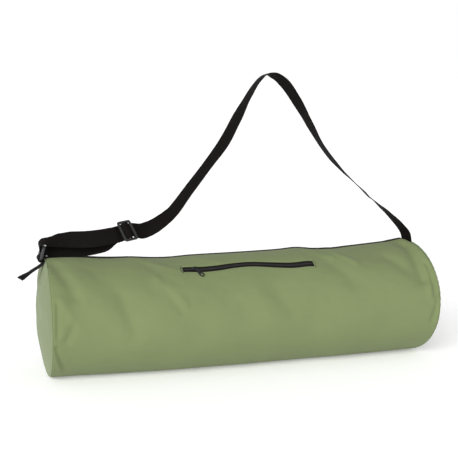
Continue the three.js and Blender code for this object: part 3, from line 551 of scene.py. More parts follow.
def make_end(side, name, node):
    deg = np.arange(END_STEPS) * 360 / END_STEPS
    rim = tube_point(np.full(END_STEPS, side * 0.5), deg)
    middle = (rim.min(0) + rim.max(0)) / 2
    share, around = np.meshgrid(RING_SHARES, deg, indexing="ij")
    points = middle + (rim[None] - middle) * share[..., None]
    arc = np.radians(around) * BAG_RADIUS
    rim_distance = (1 - share) * BAG_RADIUS
    out = (SEAM_GAP + CLOTH) * smoothstep(-2 * MM, 4 * MM, rim_distance) + END_DOME * (1 - share**DOME_POWER)
    fine = np.sin(2 * math.pi * arc / (PUCKER_PITCH * 1.2) + 2 * np.sin(np.radians(around * 5) + side))
    out += RIM_GATHER * fine * np.exp(-rim_distance / RIM_REACH) * smoothstep(0, 2.5 * MM, rim_distance)
    for i in range(len(GATHERS["side"])):
        if GATHERS["side"][i] != side:
            continue
        away = turned(around - GATHERS["deg"][i]) / GATHERS["wide"][i]
        deep = smoothstep(0, 8 * MM, rim_distance) * np.exp(-rim_distance / GATHER_DEPTH)
        out += GATHERS["lift"][i] * MM * np.exp(-away**2) * deep
    drift = END_DRIFT * ripple(points[..., 1], points[..., 2], 21 + side, 70 * MM)
    out += drift * smoothstep(0, 0.3, 1 - share)
    points = points + np.stack([side * out, 0 * out, 0 * out], axis=-1)
    dip = SEAM_DIP * np.clip(1 - rim_distance / SEAM_DIP_LENGTH, 0, 1) ** 2
    points += unit(middle - rim)[None] * dip[..., None]
    points[..., 2] = np.maximum(points[..., 2], 0)
    place = points[..., 1:3]
    tip = len(RING_SHARES) * END_STEPS
    faces = grid_faces(len(RING_SHARES), END_STEPS, closed=True)
    last = tip - END_STEPS
    faces += [(last + k, last + (k + 1) % END_STEPS, tip) for k in range(END_STEPS)]
    if side < 0:
        faces = [face[::-1] for face in faces]
    centre = points[-1].mean(0)
    end = new_piece(
        name, np.vstack([points.reshape(-1, 3), centre]), faces,
        np.vstack([place.reshape(-1, 2), centre[1:3]]),
    )
    thicken(end)
    return sew_on(end, "green_cloth_end", node)


end_left = make_end(-1, "end_canvas_left", "end_panel_left")
end_right = make_end(1, "end_canvas_right", "end_panel_right")

# %% [markdown]
# ## Zip tapes
# A zip is two woven tapes with a row of teeth on the edge of each. The tapes are sewn under the hems,
# so only a narrow black stripe of them shows. Each tape is a thin strip that follows the same line as
# the cloth over it, a little deeper, with a rounded cord along its inner edge where the teeth sit.

# %% Lay the tapes under the cloth
LAYER_GAP = 0.5 * MM
COIL_WIDTH = 4 * MM
COIL_HEIGHT = 2.2 * MM
TAPE_WIDTH = 10 * MM
TAPE_THICKNESS = 0.7 * MM
TAPE_OVERLAP = 8 * MM            # of the pocket's tapes past each end of its window
TAPE_TOP = CLOTH + LAYER_GAP
LONG_ZIP_BULGE = 2 * MM          # that the filled bag pushes the long zip out between its hems
TAPE_END = 0.4985                # share of the length, from the middle of the bag


def tape(name, line, places, side, node, bulge=0.0):
    inner = COIL_WIDTH / 2 + SEAM_GAP
    arcs = inner + TAPE_WIDTH * np.array([0, 0.04, 0.12, 0.2, 0.6, 1, 1, 0.5, 0.12, 0])
    depths = np.array([0.1, -0.25, -0.25, 0, 0, 0, 1, 1, 1, 1]) * TAPE_THICKNESS + TAPE_TOP
    depths = depths - bulge * np.array([1, 1, 0.75, 0.4, 0, 0, 0, 0, 0.75, 1])
    at = np.repeat(places[:, None], len(arcs), axis=1)
    deg = column(line, "deg", at) + np.degrees(side * arcs / BAG_RADIUS)
    points = cloth_point(at, deg, depths[None, :])
    faces = tube_faces(*at.shape)
    if side < 0:
        faces = [face[::-1] for face in faces]
    place = np.stack([at * BAG_LENGTH, np.repeat(arcs[None, :], len(places), axis=0)], axis=-1)
    return sew_on(new_piece(name, points, faces, place), "zip_tape", node)


long_places = np.linspace(-TAPE_END, TAPE_END, 200)
overlap = TAPE_OVERLAP / BAG_LENGTH
short_places = np.linspace(POCKET_LEFT - overlap, POCKET_RIGHT + overlap, 90)
tapes = [
    tape("long_zip_tape_front", MAIN_ZIP_LINE, long_places, 1, "main_zip_tape_front", LONG_ZIP_BULGE),
    tape("long_zip_tape_back", MAIN_ZIP_LINE, long_places, -1, "main_zip_tape_back", LONG_ZIP_BULGE),
    tape("pocket_tape_upper", POCKET_LINE, short_places, -1, "pocket_zip_tape_upper"),
    tape("pocket_tape_lower", POCKET_LINE, short_places, 1, "pocket_zip_tape_lower"),
]

# %% [markdown]
# ## Zip teeth
# The teeth of such a zip are one nylon wire wound into a coil on each tape. From above each turn shows
# as a short rounded bar that reaches just past the middle, and the turns of the two sides lie between
# each other. One turn is a small six-sided bar bent down at both ends. All turns of a zip are made at
# once with arrays, as one mesh.

# %% Wind the coils
TOOTH_PITCH = 1.5 * MM
TOOTH_RADIUS = 0.5 * MM
TOOTH_SIDES = 6
TEETH_END = 0.4975               # share of the length, from the middle of the bag
TEETH_INSET = 0.001              # the same share, from an end of the pocket's window
TOOTH_PATH = np.array([          # across the zip and out of it, in shares of the coil's half width and height
    (-1.0, -0.55), (-0.86, -0.12), (-0.45, 0.0), (0.0, 0.0), (0.22, -0.2),
])


def frames_on_cloth(at, deg, depth):
    along, across, out = tube_directions(at, deg)
    return cloth_point(at, deg, depth), along, across, out


def zip_coil(name, line, first, last, node, bulge=0.0):
    count = int((last - first) * BAG_LENGTH / TOOTH_PITCH)
    turn = np.arange(TOOTH_SIDES) * 2 * math.pi / TOOTH_SIDES
    points, faces = [], []
    for side, shift in ((1, 0.0), (-1, 0.5)):
        at = first + (np.arange(count) + 0.25 + shift) * TOOTH_PITCH / BAG_LENGTH
        depth = SEAM_GAP + TOOTH_RADIUS - bulge
        origin, along, across, out = frames_on_cloth(at, column(line, "deg", at), depth)
        sideways = side * TOOTH_PATH[:, 0] * COIL_WIDTH / 2
        up = TOOTH_PATH[:, 1] * COIL_HEIGHT
        ring = (
            origin[:, None, None] + across[:, None, None] * sideways[None, :, None, None]
            + out[:, None, None] * (up[:, None] + TOOTH_RADIUS * np.sin(turn))[None, :, :, None]
            + along[:, None, None] * (TOOTH_RADIUS * 1.1 * np.cos(turn))[None, None, :, None]
        )
        per_tooth = len(TOOTH_PATH) * TOOTH_SIDES
        one = tube_faces(len(TOOTH_PATH), TOOTH_SIDES)
        if side > 0:
            one = [face[::-1] for face in one]
        faces += repeated(one, count, per_tooth, start=len(points) * count * per_tooth)
        points.append(ring.reshape(-1, 3))
    return sew_on(new_piece(name, np.vstack(points), faces), "zip_coil", node)


coils = [
    zip_coil("long_zip_teeth", MAIN_ZIP_LINE, -TEETH_END, TEETH_END, "main_zip_coil", LONG_ZIP_BULGE),
    zip_coil(
        "pocket_teeth", POCKET_LINE, POCKET_LEFT + TEETH_INSET, POCKET_RIGHT - TEETH_INSET,
        "pocket_zip_coil",
    ),
]

# %% [markdown]
# ## Flat outlines with rounded edges
# Sliders, pull tabs, the strap's buckle and its ring are all plates with holes and soft edges.
# A filled curve does this well: its outline can hold several closed loops, where each inner loop is a
# hole, and its bevel rounds every edge, inside and out. The curve is then turned into a mesh.

# %% Plates from outlines
def rounded_loop(length, width, radius, middle=(0, 0), steps=6):
    """A rectangle with round corners, as a list of points."""
    loop = []
    for k, (sx, sy) in enumerate(((1, 1), (-1, 1), (-1, -1), (1, -1))):
        for i in range(steps + 1):
            turn = math.radians(90 * k + 90 * i / steps)
            loop.append((
                middle[0] + sx * (length / 2 - radius) + radius * math.cos(turn),
                middle[1] + sy * (width / 2 - radius) + radius * math.sin(turn),
            ))
    return loop


def rounded_plate(name, loops, thickness, edge, matrix=None, bevel_steps=3):
    curve = bpy.data.curves.new(name, "CURVE")
    curve.dimensions = "2D"
    curve.fill_mode = "BOTH"
    curve.extrude = max(thickness / 2 - edge, 0)
    curve.bevel_depth = edge
    curve.bevel_resolution = bevel_steps
    curve.offset = -edge
    for loop in loops:
        spline = curve.splines.new("POLY")
        spline.points.add(len(loop) - 1)
        for point, (x, y) in zip(spline.points, loop):
            point.co = (x, y, 0, 1)
        spline.use_cyclic_u = True
    holder = bpy.data.objects.new(name, curve)
    bpy.context.collection.objects.link(holder)
    bpy.context.view_layer.update()
    mesh = bpy.data.meshes.new_from_object(holder.evaluated_get(bpy.context.evaluated_depsgraph_get()))
    bpy.data.objects.remove(holder)
    bpy.data.curves.remove(curve)
    if matrix is not None:
        mesh.transform(matrix)
    mesh.name = name
    piece = bpy.data.objects.new(name, mesh)
    bpy.context.collection.objects.link(piece)
    weld(piece)
    return piece


def weld(piece):
    """Join the points that lie on each other, and shade flats flat and roundings smooth."""
    work = bmesh.new()
    work.from_mesh(piece.data)
    bmesh.ops.remove_doubles(work, verts=work.verts, dist=0.00001)
    bmesh.ops.recalc_face_normals(work, faces=work.faces)
    work.to_mesh(piece.data)
    work.free()
    piece.data.shade_smooth()
    piece.data.set_sharp_from_angle(angle=math.radians(35))


def merged(name, pieces):
    """One mesh from several."""
    with bpy.context.temp_override(
        active_object=pieces[0], selected_editable_objects=pieces, selected_objects=pieces,
    ):
        bpy.ops.object.join()
    pieces[0].name = name
    pieces[0].data.name = name
    return pieces[0]


# %% [markdown]
# ## Zip sliders and pull tabs
# A slider is a cast body, wider at the end where the two rows of teeth part, with a crown and a small
# arch on top. Its lower plate lies hidden under the teeth and isn't made here. The tab hangs on the
# arch by its square eye and has an oval window at its free end, as on the photographed bag.
# The tab of the pocket zip hangs down over the canvas.

# %% Outlines of a slider, its arch and its tab
SLIDER_LENGTH = 12 * MM
SLIDER_WIDTH = 8.4 * MM
SLIDER_PLATE = 1.2 * MM
BAIL_OPENING = 2.5 * MM
BAIL_BAR = 0.9 * MM
BAIL_INSIDE = 4 * MM
BAIL_WIDTH = 1.6 * MM
CROWN_LENGTH = 7 * MM
CROWN_WIDTH = 3 * MM
PULL_LENGTH = 25 * MM
PULL_WIDTH = 9 * MM
PULL_EYE_WIDTH = 7.8 * MM
PULL_THICKNESS = 0.9 * MM
PULL_EYE_LENGTH = 4.1 * MM
PULL_FRAME = 0.9 * MM            # of metal round the eye
PULL_BAR = 0.45 * MM
MAIN_SLIDER_INSET = 46 * MM
POCKET_SLIDER_INSET = 20 * MM
MAIN_SWING = -12                 # degrees that a tab is turned on its slider
POCKET_SWING = -62
PULL_DIP = 9                     # degrees that it slopes down to its free end


def frame_on_cloth(at, deg, depth):
    origin, along, across, out = frames_on_cloth(np.array([at]), np.array([float(deg)]), depth)
    return axes_matrix(along[0], across[0], out[0], origin[0])


def slider_loop():
    """Outline of the slider's plate: a round nose and a wide, split tail."""
    half, long = SLIDER_WIDTH / 2, SLIDER_LENGTH / 2
    shares = [(-1.0, 0.0), (-0.95, 0.38), (-0.72, 0.66), (-0.3, 0.74), (0.2, 0.9), (0.62, 1.0),
              (0.95, 0.94), (1.0, 0.7), (0.93, 0.25)]
    upper = [(x * long, y * half) for x, y in shares]
    return upper + [(x, -y) for x, y in upper[::-1] if y > 0]


def bail_loop():
    inside, outside = BAIL_INSIDE / 2, BAIL_INSIDE / 2 + BAIL_BAR
    ceiling = SLIDER_PLATE + BAIL_OPENING
    foot = SLIDER_PLATE / 2
    outer = [(-outside - 0.6 * MM, foot), (-outside, ceiling - 0.2 * MM), (-inside, ceiling + BAIL_BAR),
             (inside, ceiling + BAIL_BAR), (outside, ceiling - 0.2 * MM), (outside + 0.6 * MM, foot)]
    inner = [(inside, foot), (inside, ceiling - 0.3 * MM), (inside - 0.3 * MM, ceiling),
             (-inside + 0.3 * MM, ceiling), (-inside, ceiling - 0.3 * MM), (-inside, foot)]
    return outer + inner


def pull_loops():
    bar, eye_half, end_half = PULL_BAR, PULL_EYE_WIDTH / 2, PULL_WIDTH / 2
    eye_length = PULL_EYE_LENGTH
    far = PULL_LENGTH - bar
    side = [
        (-bar, eye_half * 0.9), (-bar * 0.4, eye_half), (eye_length, eye_half),
        (eye_length + 1.2 * MM, eye_half * 0.75), (eye_length * 1.9, end_half * 0.6),
        (far * 0.55, end_half * 0.72), (far * 0.75, end_half),
    ]
    tip = [(far - (1 - math.cos(t)) * far * 0.25, end_half * math.sin(t))
           for t in np.radians(np.arange(75, -76, -15))]
    outline = side + tip + [(x, -y) for x, y in side[::-1]]
    eye_middle = ((eye_length + bar) / 2, 0)
    eye = rounded_loop(eye_length - bar, 2 * (eye_half - PULL_FRAME), 0.5 * MM, eye_middle, 3)
    window = [(far * 0.79 + PULL_WIDTH * 0.36 * math.cos(t), PULL_WIDTH * 0.25 * math.sin(t))
              for t in np.radians(np.arange(0, 360, 15))]
    return [outline, eye, window]


# %% Build the two sliders with their tabs
def make_slider(zip_name, piece_name, inset, start, line, swing, bulge=0.0):
    at = start + inset / BAG_LENGTH
    base = frame_on_cloth(at, column(line, "deg", at), -SEAM_GAP - bulge)
    plate_place = base @ Matrix.Translation((0, 0, SLIDER_PLATE / 2))
    crown_place = base @ Matrix.Translation((0, 0, SLIDER_PLATE + 0.2 * MM))
    bail_place = base @ Matrix.Rotation(math.pi / 2, 4, "X")
    crown_loop = rounded_loop(CROWN_LENGTH, CROWN_WIDTH, 1.2 * MM)
    top = rounded_plate("top", [slider_loop()], SLIDER_PLATE, 0.4 * MM, plate_place)
    crown = rounded_plate("crown", [crown_loop], 0.8 * MM, 0.35 * MM, crown_place)
    bail = rounded_plate("bail", [bail_loop()], BAIL_WIDTH, 0.3 * MM, bail_place)
    slider = merged(f"{piece_name}_slider", [top, crown, bail])
    sew_on(slider, "zip_metal", f"{zip_name}_slider")
    height = SLIDER_PLATE + BAIL_OPENING - PULL_THICKNESS / 2 - 0.3 * MM
    hang = (
        base @ Matrix.Translation((0, 0, height)) @ Matrix.Rotation(math.radians(swing), 4, "Z")
        @ Matrix.Rotation(math.radians(PULL_DIP), 4, "Y")
    )
    pull = rounded_plate(f"{piece_name}_pull", pull_loops(), PULL_THICKNESS, 0.25 * MM, hang)
    sew_on(pull, "zip_metal", f"{zip_name}_pull")
    return [slider, pull]


metal_pieces = (
    make_slider("main_zip", "long_zip", MAIN_SLIDER_INSET, -0.5, MAIN_ZIP_LINE, MAIN_SWING, LONG_ZIP_BULGE)
    + make_slider("pocket_zip", "pocket", POCKET_SLIDER_INSET, POCKET_LEFT, POCKET_LINE, POCKET_SWING)
)

# %% [markdown]
# ## Webbing
# Webbing is a flat woven band with firm rounded edges. It bends over its flat side and twists, but it
# hardly bends sideways. A band is made from stations: each says where the middle of the band is and
# which way its near edge points. A smooth curve runs through the stations, and a thin section with
# round edges is carried along it in small steps.

# %% A band through stations
WEB_WIDTH = 30 * MM
WEB_THICKNESS = 1.3 * MM
WEB_STEP = 3 * MM
FRONT = np.array([0.0, -1.0, 0.0])
EDGE_ROUNDING = 0.045            # share of the half width that each edge is rounded over
EDGE_PLACES = np.array([-1, -0.985, -0.955, -0.9, -0.6, -0.2, 0.2, 0.6, 0.9, 0.955, 0.985, 1])


def smooth_run(stations, step):
    """Points, tangents and edge directions of a centripetal curve through the stations."""
    places = np.array([place for place, _ in stations])
    edges = np.array([edge for _, edge in stations])
    padded = np.vstack([2 * places[0] - places[1], places, 2 * places[-1] - places[-2]])
    points, ways, sides = [], [], []
    for i in range(len(places) - 1):
        p0, p1, p2, p3 = padded[i:i + 4]
        d0, d1, d2 = (max(np.linalg.norm(b - a), 1e-6) ** 0.5 for a, b in ((p0, p1), (p1, p2), (p2, p3)))
        from_slope = ((p1 - p0) / d0 - (p2 - p0) / (d0 + d1) + (p2 - p1) / d1) * d1
        to_slope = ((p2 - p1) / d1 - (p3 - p1) / (d1 + d2) + (p3 - p2) / d2) * d1
        cells = max(1, math.ceil(np.linalg.norm(p2 - p1) / step))
        count = cells + 1 if i == len(places) - 2 else cells
        for k in range(count):
            t = k / cells
            bend = 2 * p1 - 2 * p2 + from_slope + to_slope
            turn = 3 * p2 - 3 * p1 - 2 * from_slope - to_slope
            points.append(p1 + t * from_slope + t * t * turn + t**3 * bend)
            ways.append(from_slope + 2 * t * turn + 3 * t * t * bend)
            ease = t * t * (3 - 2 * t)
            sides.append(edges[i] * (1 - ease) + edges[i + 1] * ease)
    ways = unit(np.array(ways))
    sides = np.array(sides)
    sides = unit(sides - ways * (sides * ways).sum(-1, keepdims=True))
    return np.array(points), ways, sides


def webbing(name, stations, width, thickness, step=WEB_STEP, wave=0.25 * MM):
    middle, ways, sides = smooth_run(stations, step)
    faces_out = np.cross(ways, sides)
    run = np.concatenate([[0], np.cumsum(np.linalg.norm(np.diff(middle, axis=0), axis=1))])
    past_flat = np.maximum(np.abs(EDGE_PLACES) - (1 - EDGE_ROUNDING), 0)
    round_off = np.sqrt(np.maximum(1 - past_flat**2 / EDGE_ROUNDING**2, 0))
    across = np.concatenate([EDGE_PLACES, EDGE_PLACES[::-1][1:-1]]) * width / 2
    above = np.concatenate([round_off, -round_off[::-1][1:-1]]) * thickness / 2
    calm = smoothstep(0, 12 * MM, run) * smoothstep(0, 12 * MM, run[-1] - run)
    cup = wave * np.sin(run / (37 * MM) + 1.0) * calm
    lift = above[None, :] + cup[:, None] * (1 - 2 * (across[None, :] / (width / 2)) ** 2)
    points = (
        middle[:, None] + sides[:, None] * across[None, :, None] + faces_out[:, None] * lift[..., None]
    )
    place = np.stack(np.broadcast_arrays(run[:, None], across[None, :]), axis=-1)
    piece = new_piece(name, points, tube_faces(len(middle), len(across)), place)
    print(f"{name}: {run[-1] * 1000:.0f} mm of webbing")
    return piece


# %% [markdown]
# ## The way of the strap
# The strap leaves the right end seam, stands in an arch, passes the slider, runs on to the ring at the
# left end and comes back under itself to the slider's middle bar, where it is sewn.
# The arch is a table of shares, read off the outline of the real strap. The turn of its near edge is
# what makes the band show its face, then its edge, then its other face.

# %% Stations of the arch and of the two layers
STRAP_RISE = 308 * MM
ARCH = table("at rise front turn", """
     0.4985 -0.0080     0  -12
     0.4975  0.0120     0  -12
     0.4930  0.0450     0  -14
     0.4710  0.1040     0  -10
     0.4340  0.1800     0   -2
     0.3970  0.2470     0    8
     0.3730  0.2900     0   16
     0.3430  0.3500     0   11
     0.3070  0.4200     0    6
     0.2720  0.5000     0    0
     0.2370  0.5980     0    0
     0.2020  0.7250     0   -9
     0.1670  0.8500     0  -19
     0.1350  0.9440     0  -23
     0.1100  0.9860     0  -18
     0.0860  0.9980     0   -5
     0.0620  0.9580     0    0
     0.0340  0.8680     0    6
     0.0020  0.7420     0   20
    -0.0310  0.6120     0   24
    -0.0790  0.4750     0   19
    -0.1280  0.3410     0   22
    -0.1684  0.2268  -1.5   28
    -0.1849  0.1935  -3.4   34
    -0.2015  0.1669  -4.4   40
    -0.2186  0.1443  -4.6   46
    -0.2358  0.1291  -3.6   52
    -0.2536  0.1208  -1.2   56
""")
UPPER_LAYER = table("at rise front turn", """
    -0.3198  0.1153   15   58
    -0.3434  0.1078   17   63
    -0.3658  0.1016   18   66
    -0.4038  0.0953   14   65
    -0.4319  0.0960    9   57
    -0.4625  0.0925    4   42
    -0.4870  0.0860    1   24
""")
LOWER_LAYER = table("at rise front turn", """
    -0.4860  0.0260   -3   34
    -0.4614  0.0330   -1   38
    -0.4294  0.0370    2   42
    -0.4004  0.0360    2   44
    -0.3733  0.0460    3   48
    -0.3489  0.0640    6   54
""")


def near_edge(way, turn):
    inward = unit(np.cross(way, FRONT))
    inward = -inward if inward[2] > 0 else inward
    return FRONT * math.cos(math.radians(turn)) + inward * math.sin(math.radians(turn))


def strap_place(at, rise, front):
    return np.array([at * BAG_LENGTH, -front * MM, BAG_DIAMETER + rise * STRAP_RISE])


def stations_of(rows):
    places = [strap_place(*row) for row in zip(rows["at"], rows["rise"], rows["front"])]
    stations = []
    for i, turn in enumerate(rows["turn"]):
        way = unit(places[min(i + 1, len(places) - 1)] - places[max(i - 1, 0)])
        stations.append((places[i], near_edge(way, turn)))
    return stations


# %% [markdown]
# ## Through the slider and round the ring
# The strap goes under one end bar of the slider, over its middle bar and under the other end bar.
# Its end comes back below, wraps the middle bar and is sewn to itself. At the left the strap turns
# round the upper bar of the ring, and a short loop from the end seam holds the lower bar.
# Each wrap keeps at least the radius of its bar plus a little slack, so that nothing cuts into
# anything. The turn through the ring is looser than that, as on the real strap.

# %% Sizes and places of the slider and the ring
BUCKLE_LENGTH = 26 * MM
BUCKLE_WIDTH = 40 * MM
BUCKLE_THICKNESS = 2.6 * MM
BUCKLE_END_BAR = 4.2 * MM
BUCKLE_MIDDLE_BAR = 3.2 * MM
BUCKLE_AT, BUCKLE_RISE, BUCKLE_FRONT = -0.291, 0.1315, 8
BUCKLE_TURN, BUCKLE_HEADING, BUCKLE_CLIMB = 50, 20, 6
RING_WIDTH = 40 * MM
RING_HEIGHT = 26 * MM
RING_THICKNESS = 5.2 * MM
RING_BAR = 4 * MM
RING_STAND = 6 * MM              # of its middle, out from the left seam
RING_RISE = 9.4 * MM             # of its middle, above the top of that seam
RING_LEAN = 15                   # degrees towards the bag
LOOP_RADIUS = 8.2 * MM           # of the loose turn of the strap through the ring
LOOP_SHIFT = 1.5 * MM
LOOP_TILT = 16
SLOT_SHIFT = 0.3 * MM            # of the webbing in the slider, towards its near edge
WEB_SLACK = 0.35 * MM
web_half = WEB_THICKNESS / 2
slot_outer = BUCKLE_LENGTH / 2 - BUCKLE_END_BAR
sewn_radius = math.hypot(BUCKLE_MIDDLE_BAR, BUCKLE_THICKNESS) / 2 + WEB_SLACK + web_half
under_level = -(BUCKLE_THICKNESS / 2 + 2 * WEB_SLACK + web_half)
heading, climb = math.radians(BUCKLE_HEADING), math.radians(BUCKLE_CLIMB)
buckle_x = np.array([
    math.cos(climb) * math.cos(heading),
    math.cos(climb) * math.sin(heading),
    math.sin(climb),
])
buckle_near = near_edge(buckle_x, BUCKLE_TURN)
buckle_near = unit(buckle_near - buckle_x * (buckle_near @ buckle_x))
buckle_z = np.cross(buckle_near, buckle_x)
buckle_y = np.cross(buckle_z, buckle_x)
buckle_middle = strap_place(BUCKLE_AT, BUCKLE_RISE, BUCKLE_FRONT)
buckle_matrix = axes_matrix(buckle_x, buckle_y, buckle_z, buckle_middle)

seam_top = tube_point(np.array([-0.5]), np.array([0.0]))[0]
ring_middle = np.array([seam_top[0] - RING_STAND, 0, seam_top[2] + RING_RISE])
ring_up = np.array([math.sin(math.radians(RING_LEAN)), 0, math.cos(math.radians(RING_LEAN))])
ring_matrix = axes_matrix(FRONT, ring_up, np.cross(FRONT, ring_up), ring_middle)
wrap_radius = math.hypot(RING_BAR, RING_THICKNESS) / 2 + WEB_SLACK + web_half
ring_bar_middle = RING_HEIGHT / 2 - RING_BAR / 2
print("slider at", buckle_middle.round(4), "and ring at", ring_middle.round(4))


# %% Ways of the webbing through the slider and round the ring
def at_buckle(points):
    middle = buckle_middle + buckle_near * SLOT_SHIFT
    return [(middle + buckle_x * along * MM + buckle_z * above * MM, buckle_near) for along, above in points]


def through_buckle():
    outer, radius, low, slack = slot_outer / MM, sewn_radius / MM, under_level / MM, WEB_SLACK / MM
    over = radius + (WEB_THICKNESS + WEB_SLACK) / MM
    half = [
        (outer + 6, low - slack), (outer + 1.8, low), (outer - slack, low + slack),
        (radius * 1.75, over * 0.5), (radius, over * 0.86),
    ]
    return at_buckle(half + [(0, over)] + [(-along, above) for along, above in half[::-1]])


def round_middle_bar():
    outer, radius, slack = slot_outer / MM, sewn_radius / MM, WEB_SLACK / MM
    low = (under_level - WEB_THICKNESS - 2 * WEB_SLACK) / MM
    turns = np.radians(np.arange(190, -81, -30))
    wrap = [(radius * math.cos(t), radius * math.sin(t)) for t in turns]
    return at_buckle([
        (-outer - 15, low - 5 * slack), (-outer - 6, low - 2 * slack), (-outer + slack, low),
        (-radius * 1.8, low * 0.78), (-radius * 1.2, low * 0.46), *wrap,
    ])


def round_bar(centre, radius, from_deg, to_deg, count, tilt=0.0):
    """Stations round a bar; the near edge can draw in towards it by a tilt, which turns to its opposite."""
    stations = []
    for turn, lean in zip(np.linspace(from_deg, to_deg, count + 1), np.linspace(tilt, -tilt, count + 1)):
        out = np.array([math.cos(math.radians(turn)), 0, math.sin(math.radians(turn))])
        edge = FRONT * math.cos(math.radians(lean)) - out * math.sin(math.radians(lean))
        stations.append((centre + radius * out, edge))
    return stations


# %% Lay the strap
loose = np.array([LOOP_SHIFT, 0, -WEB_SLACK])
strap = webbing("strap_webbing", [
    *stations_of(ARCH), *through_buckle(), *stations_of(UPPER_LAYER),
    *round_bar(ring_middle + ring_up * ring_bar_middle + loose, LOOP_RADIUS, 75, 265, 6, LOOP_TILT),
    *stations_of(LOWER_LAYER), *round_middle_bar(),
], WEB_WIDTH, WEB_THICKNESS, wave=0.12 * MM)
sew_on(strap, "webbing", "shoulder_strap")

# %% [markdown]
# ## The anchor loop and the loose tab
# A short piece of the same webbing comes out of the left end seam, goes round the ring's lower bar
# and back into the seam. Beside it hangs a loose tab of narrower tape, which one holds while
# the zip is pulled. The tab twists a little as it hangs out.

# %% Make the anchor loop and the tab
TAB_WIDTH = 20 * MM
TAB_THICKNESS = 1.2 * MM
ANCHOR_WIDTH = 28 * MM
ANCHOR_OUT = table("out up", """
    -1  3.1
     3  3.5
""")
ANCHOR_BACK = table("out up", """
    4.5  1.40
     -1  1.45
""")
TAB_LINE = table("out up front edge_out edge_up", """
     3.3   -2.6  10.7   0.00  -0.08
     5.6   -7.6  10.9   0.05  -0.03
    25.5  -19.5  17.6  -0.03  -0.01
    45.2  -30.1  24.1  -0.27  -0.17
""")


def seam_stations(rows):
    """Stations in millimetres out from the top of the left seam, above it and in front of it."""
    stations = []
    none = np.zeros(len(rows["out"]))
    fields = [rows.get(name, none) for name in ("out", "up", "front", "edge_out", "edge_up")]
    for out, up, front, edge_out, edge_up in zip(*fields):
        place = seam_top + np.array([-out, 0, up]) * MM
        place[1] = -front * MM
        stations.append((place, unit(np.array([-edge_out, -1, edge_up]))))
    return stations


anchor = webbing("anchor_webbing", [
    *seam_stations(ANCHOR_OUT),
    *round_bar(ring_middle - ring_up * ring_bar_middle, wrap_radius, 70, 305, 7),
    *seam_stations(ANCHOR_BACK),
], ANCHOR_WIDTH, WEB_THICKNESS, step=1 * MM, wave=0)
sew_on(anchor, "webbing", "anchor_loop")
tab_stations = seam_stations(TAB_LINE)
tab = webbing("zip_end_tape_tab", tab_stations, TAB_WIDTH, TAB_THICKNESS, step=1.5 * MM, wave=0.1 * MM)
sew_on(tab, "webbing", "zip_end_tab")

# %% [markdown]
# ## The slider and the ring of the strap
# Both are moulded plastic. The slider is a flat frame with a bar across its middle, which the webbing
# runs over, and two end bars with a raised lip that grips. The ring is a stout rectangle with
# round corners. Each is a plate with holes whose edges are rounded all the way round.

# %% Make the buckle and the ring
slot_length = slot_outer - BUCKLE_MIDDLE_BAR / 2
SLOT_SPARE = 0.7 * MM            # of a slot, past each edge of the webbing
slot_width = WEB_WIDTH + 2 * SLOT_SPARE
slot_middle = (slot_outer + BUCKLE_MIDDLE_BAR / 2) / 2
LIP_WIDTH = 1.5 * MM
LIP_INSET = 1.1 * MM             # of its middle, from the end of the slider
LIP_HEIGHT = 1.2 * MM
LIP_SHORTER = 6 * MM             # than the slider is wide


def buckle_lip(side):
    middle = (side * (BUCKLE_LENGTH / 2 - LIP_INSET), 0)
    loop = rounded_loop(LIP_WIDTH, BUCKLE_WIDTH - LIP_SHORTER, 0.7 * MM, middle, 4)
    face = buckle_matrix @ Matrix.Translation((0, 0, BUCKLE_THICKNESS / 2))
    return rounded_plate("buckle_lip", [loop], LIP_HEIGHT, 0.5 * MM, face)


buckle_loops = [rounded_loop(BUCKLE_LENGTH, BUCKLE_WIDTH, 4 * MM)]
for side in (-1, 1):
    buckle_loops.append(rounded_loop(slot_length, slot_width, 0.9 * MM, (side * slot_middle, 0), 3))
buckle = merged("strap_buckle", [
    rounded_plate("buckle_frame", buckle_loops, BUCKLE_THICKNESS, 0.7 * MM, buckle_matrix),
    buckle_lip(-1),
    buckle_lip(1),
])
sew_on(buckle, "buckle_plastic", "strap_slider")
ring = rounded_plate("strap_end_ring", [
    rounded_loop(RING_WIDTH, RING_HEIGHT, 6.5 * MM, steps=8),
    rounded_loop(RING_WIDTH - 2 * RING_BAR, RING_HEIGHT - 2 * RING_BAR, 3 * MM, steps=6),
], RING_THICKNESS, 1.5 * MM, ring_matrix, bevel_steps=5)
sew_on(ring, "buckle_plastic", "strap_ring")

# %% [markdown]
# ## Stitches
# The hems of the long zip are sewn down with green thread. Round the pocket's window the thread
# is green along the sides, and it is drawn thicker and near black where the line turns round the two ends.
# A stitch is a short bar of thread that sinks into the cloth at both ends. One bar is a bent tube of a few
# rings, and arrays place it again and again along a line, so that a whole seam is a single mesh.

# %% Stitches along a line
STITCH_PITCH = 3.3 * MM
STITCH_LENGTH = 2.7 * MM
THREAD_RADIUS = 0.32 * MM
END_STITCH_PITCH = 3 * MM
END_STITCH_LENGTH = 2.2 * MM
END_THREAD_RADIUS = 0.5 * MM
THREAD_SIDES = 6
HEM_STITCH_END = 0.492           # share of the length, from the middle of the bag
STITCH_ARC = np.linspace(-1, 1, 5)


def cloth_surface(at, deg):
    """Places on the finished canvas, with the direction out of it."""
    out = tube_directions(at, deg)[2]
    return cloth_point(at, deg) + out * relief(at, deg)[..., None], out


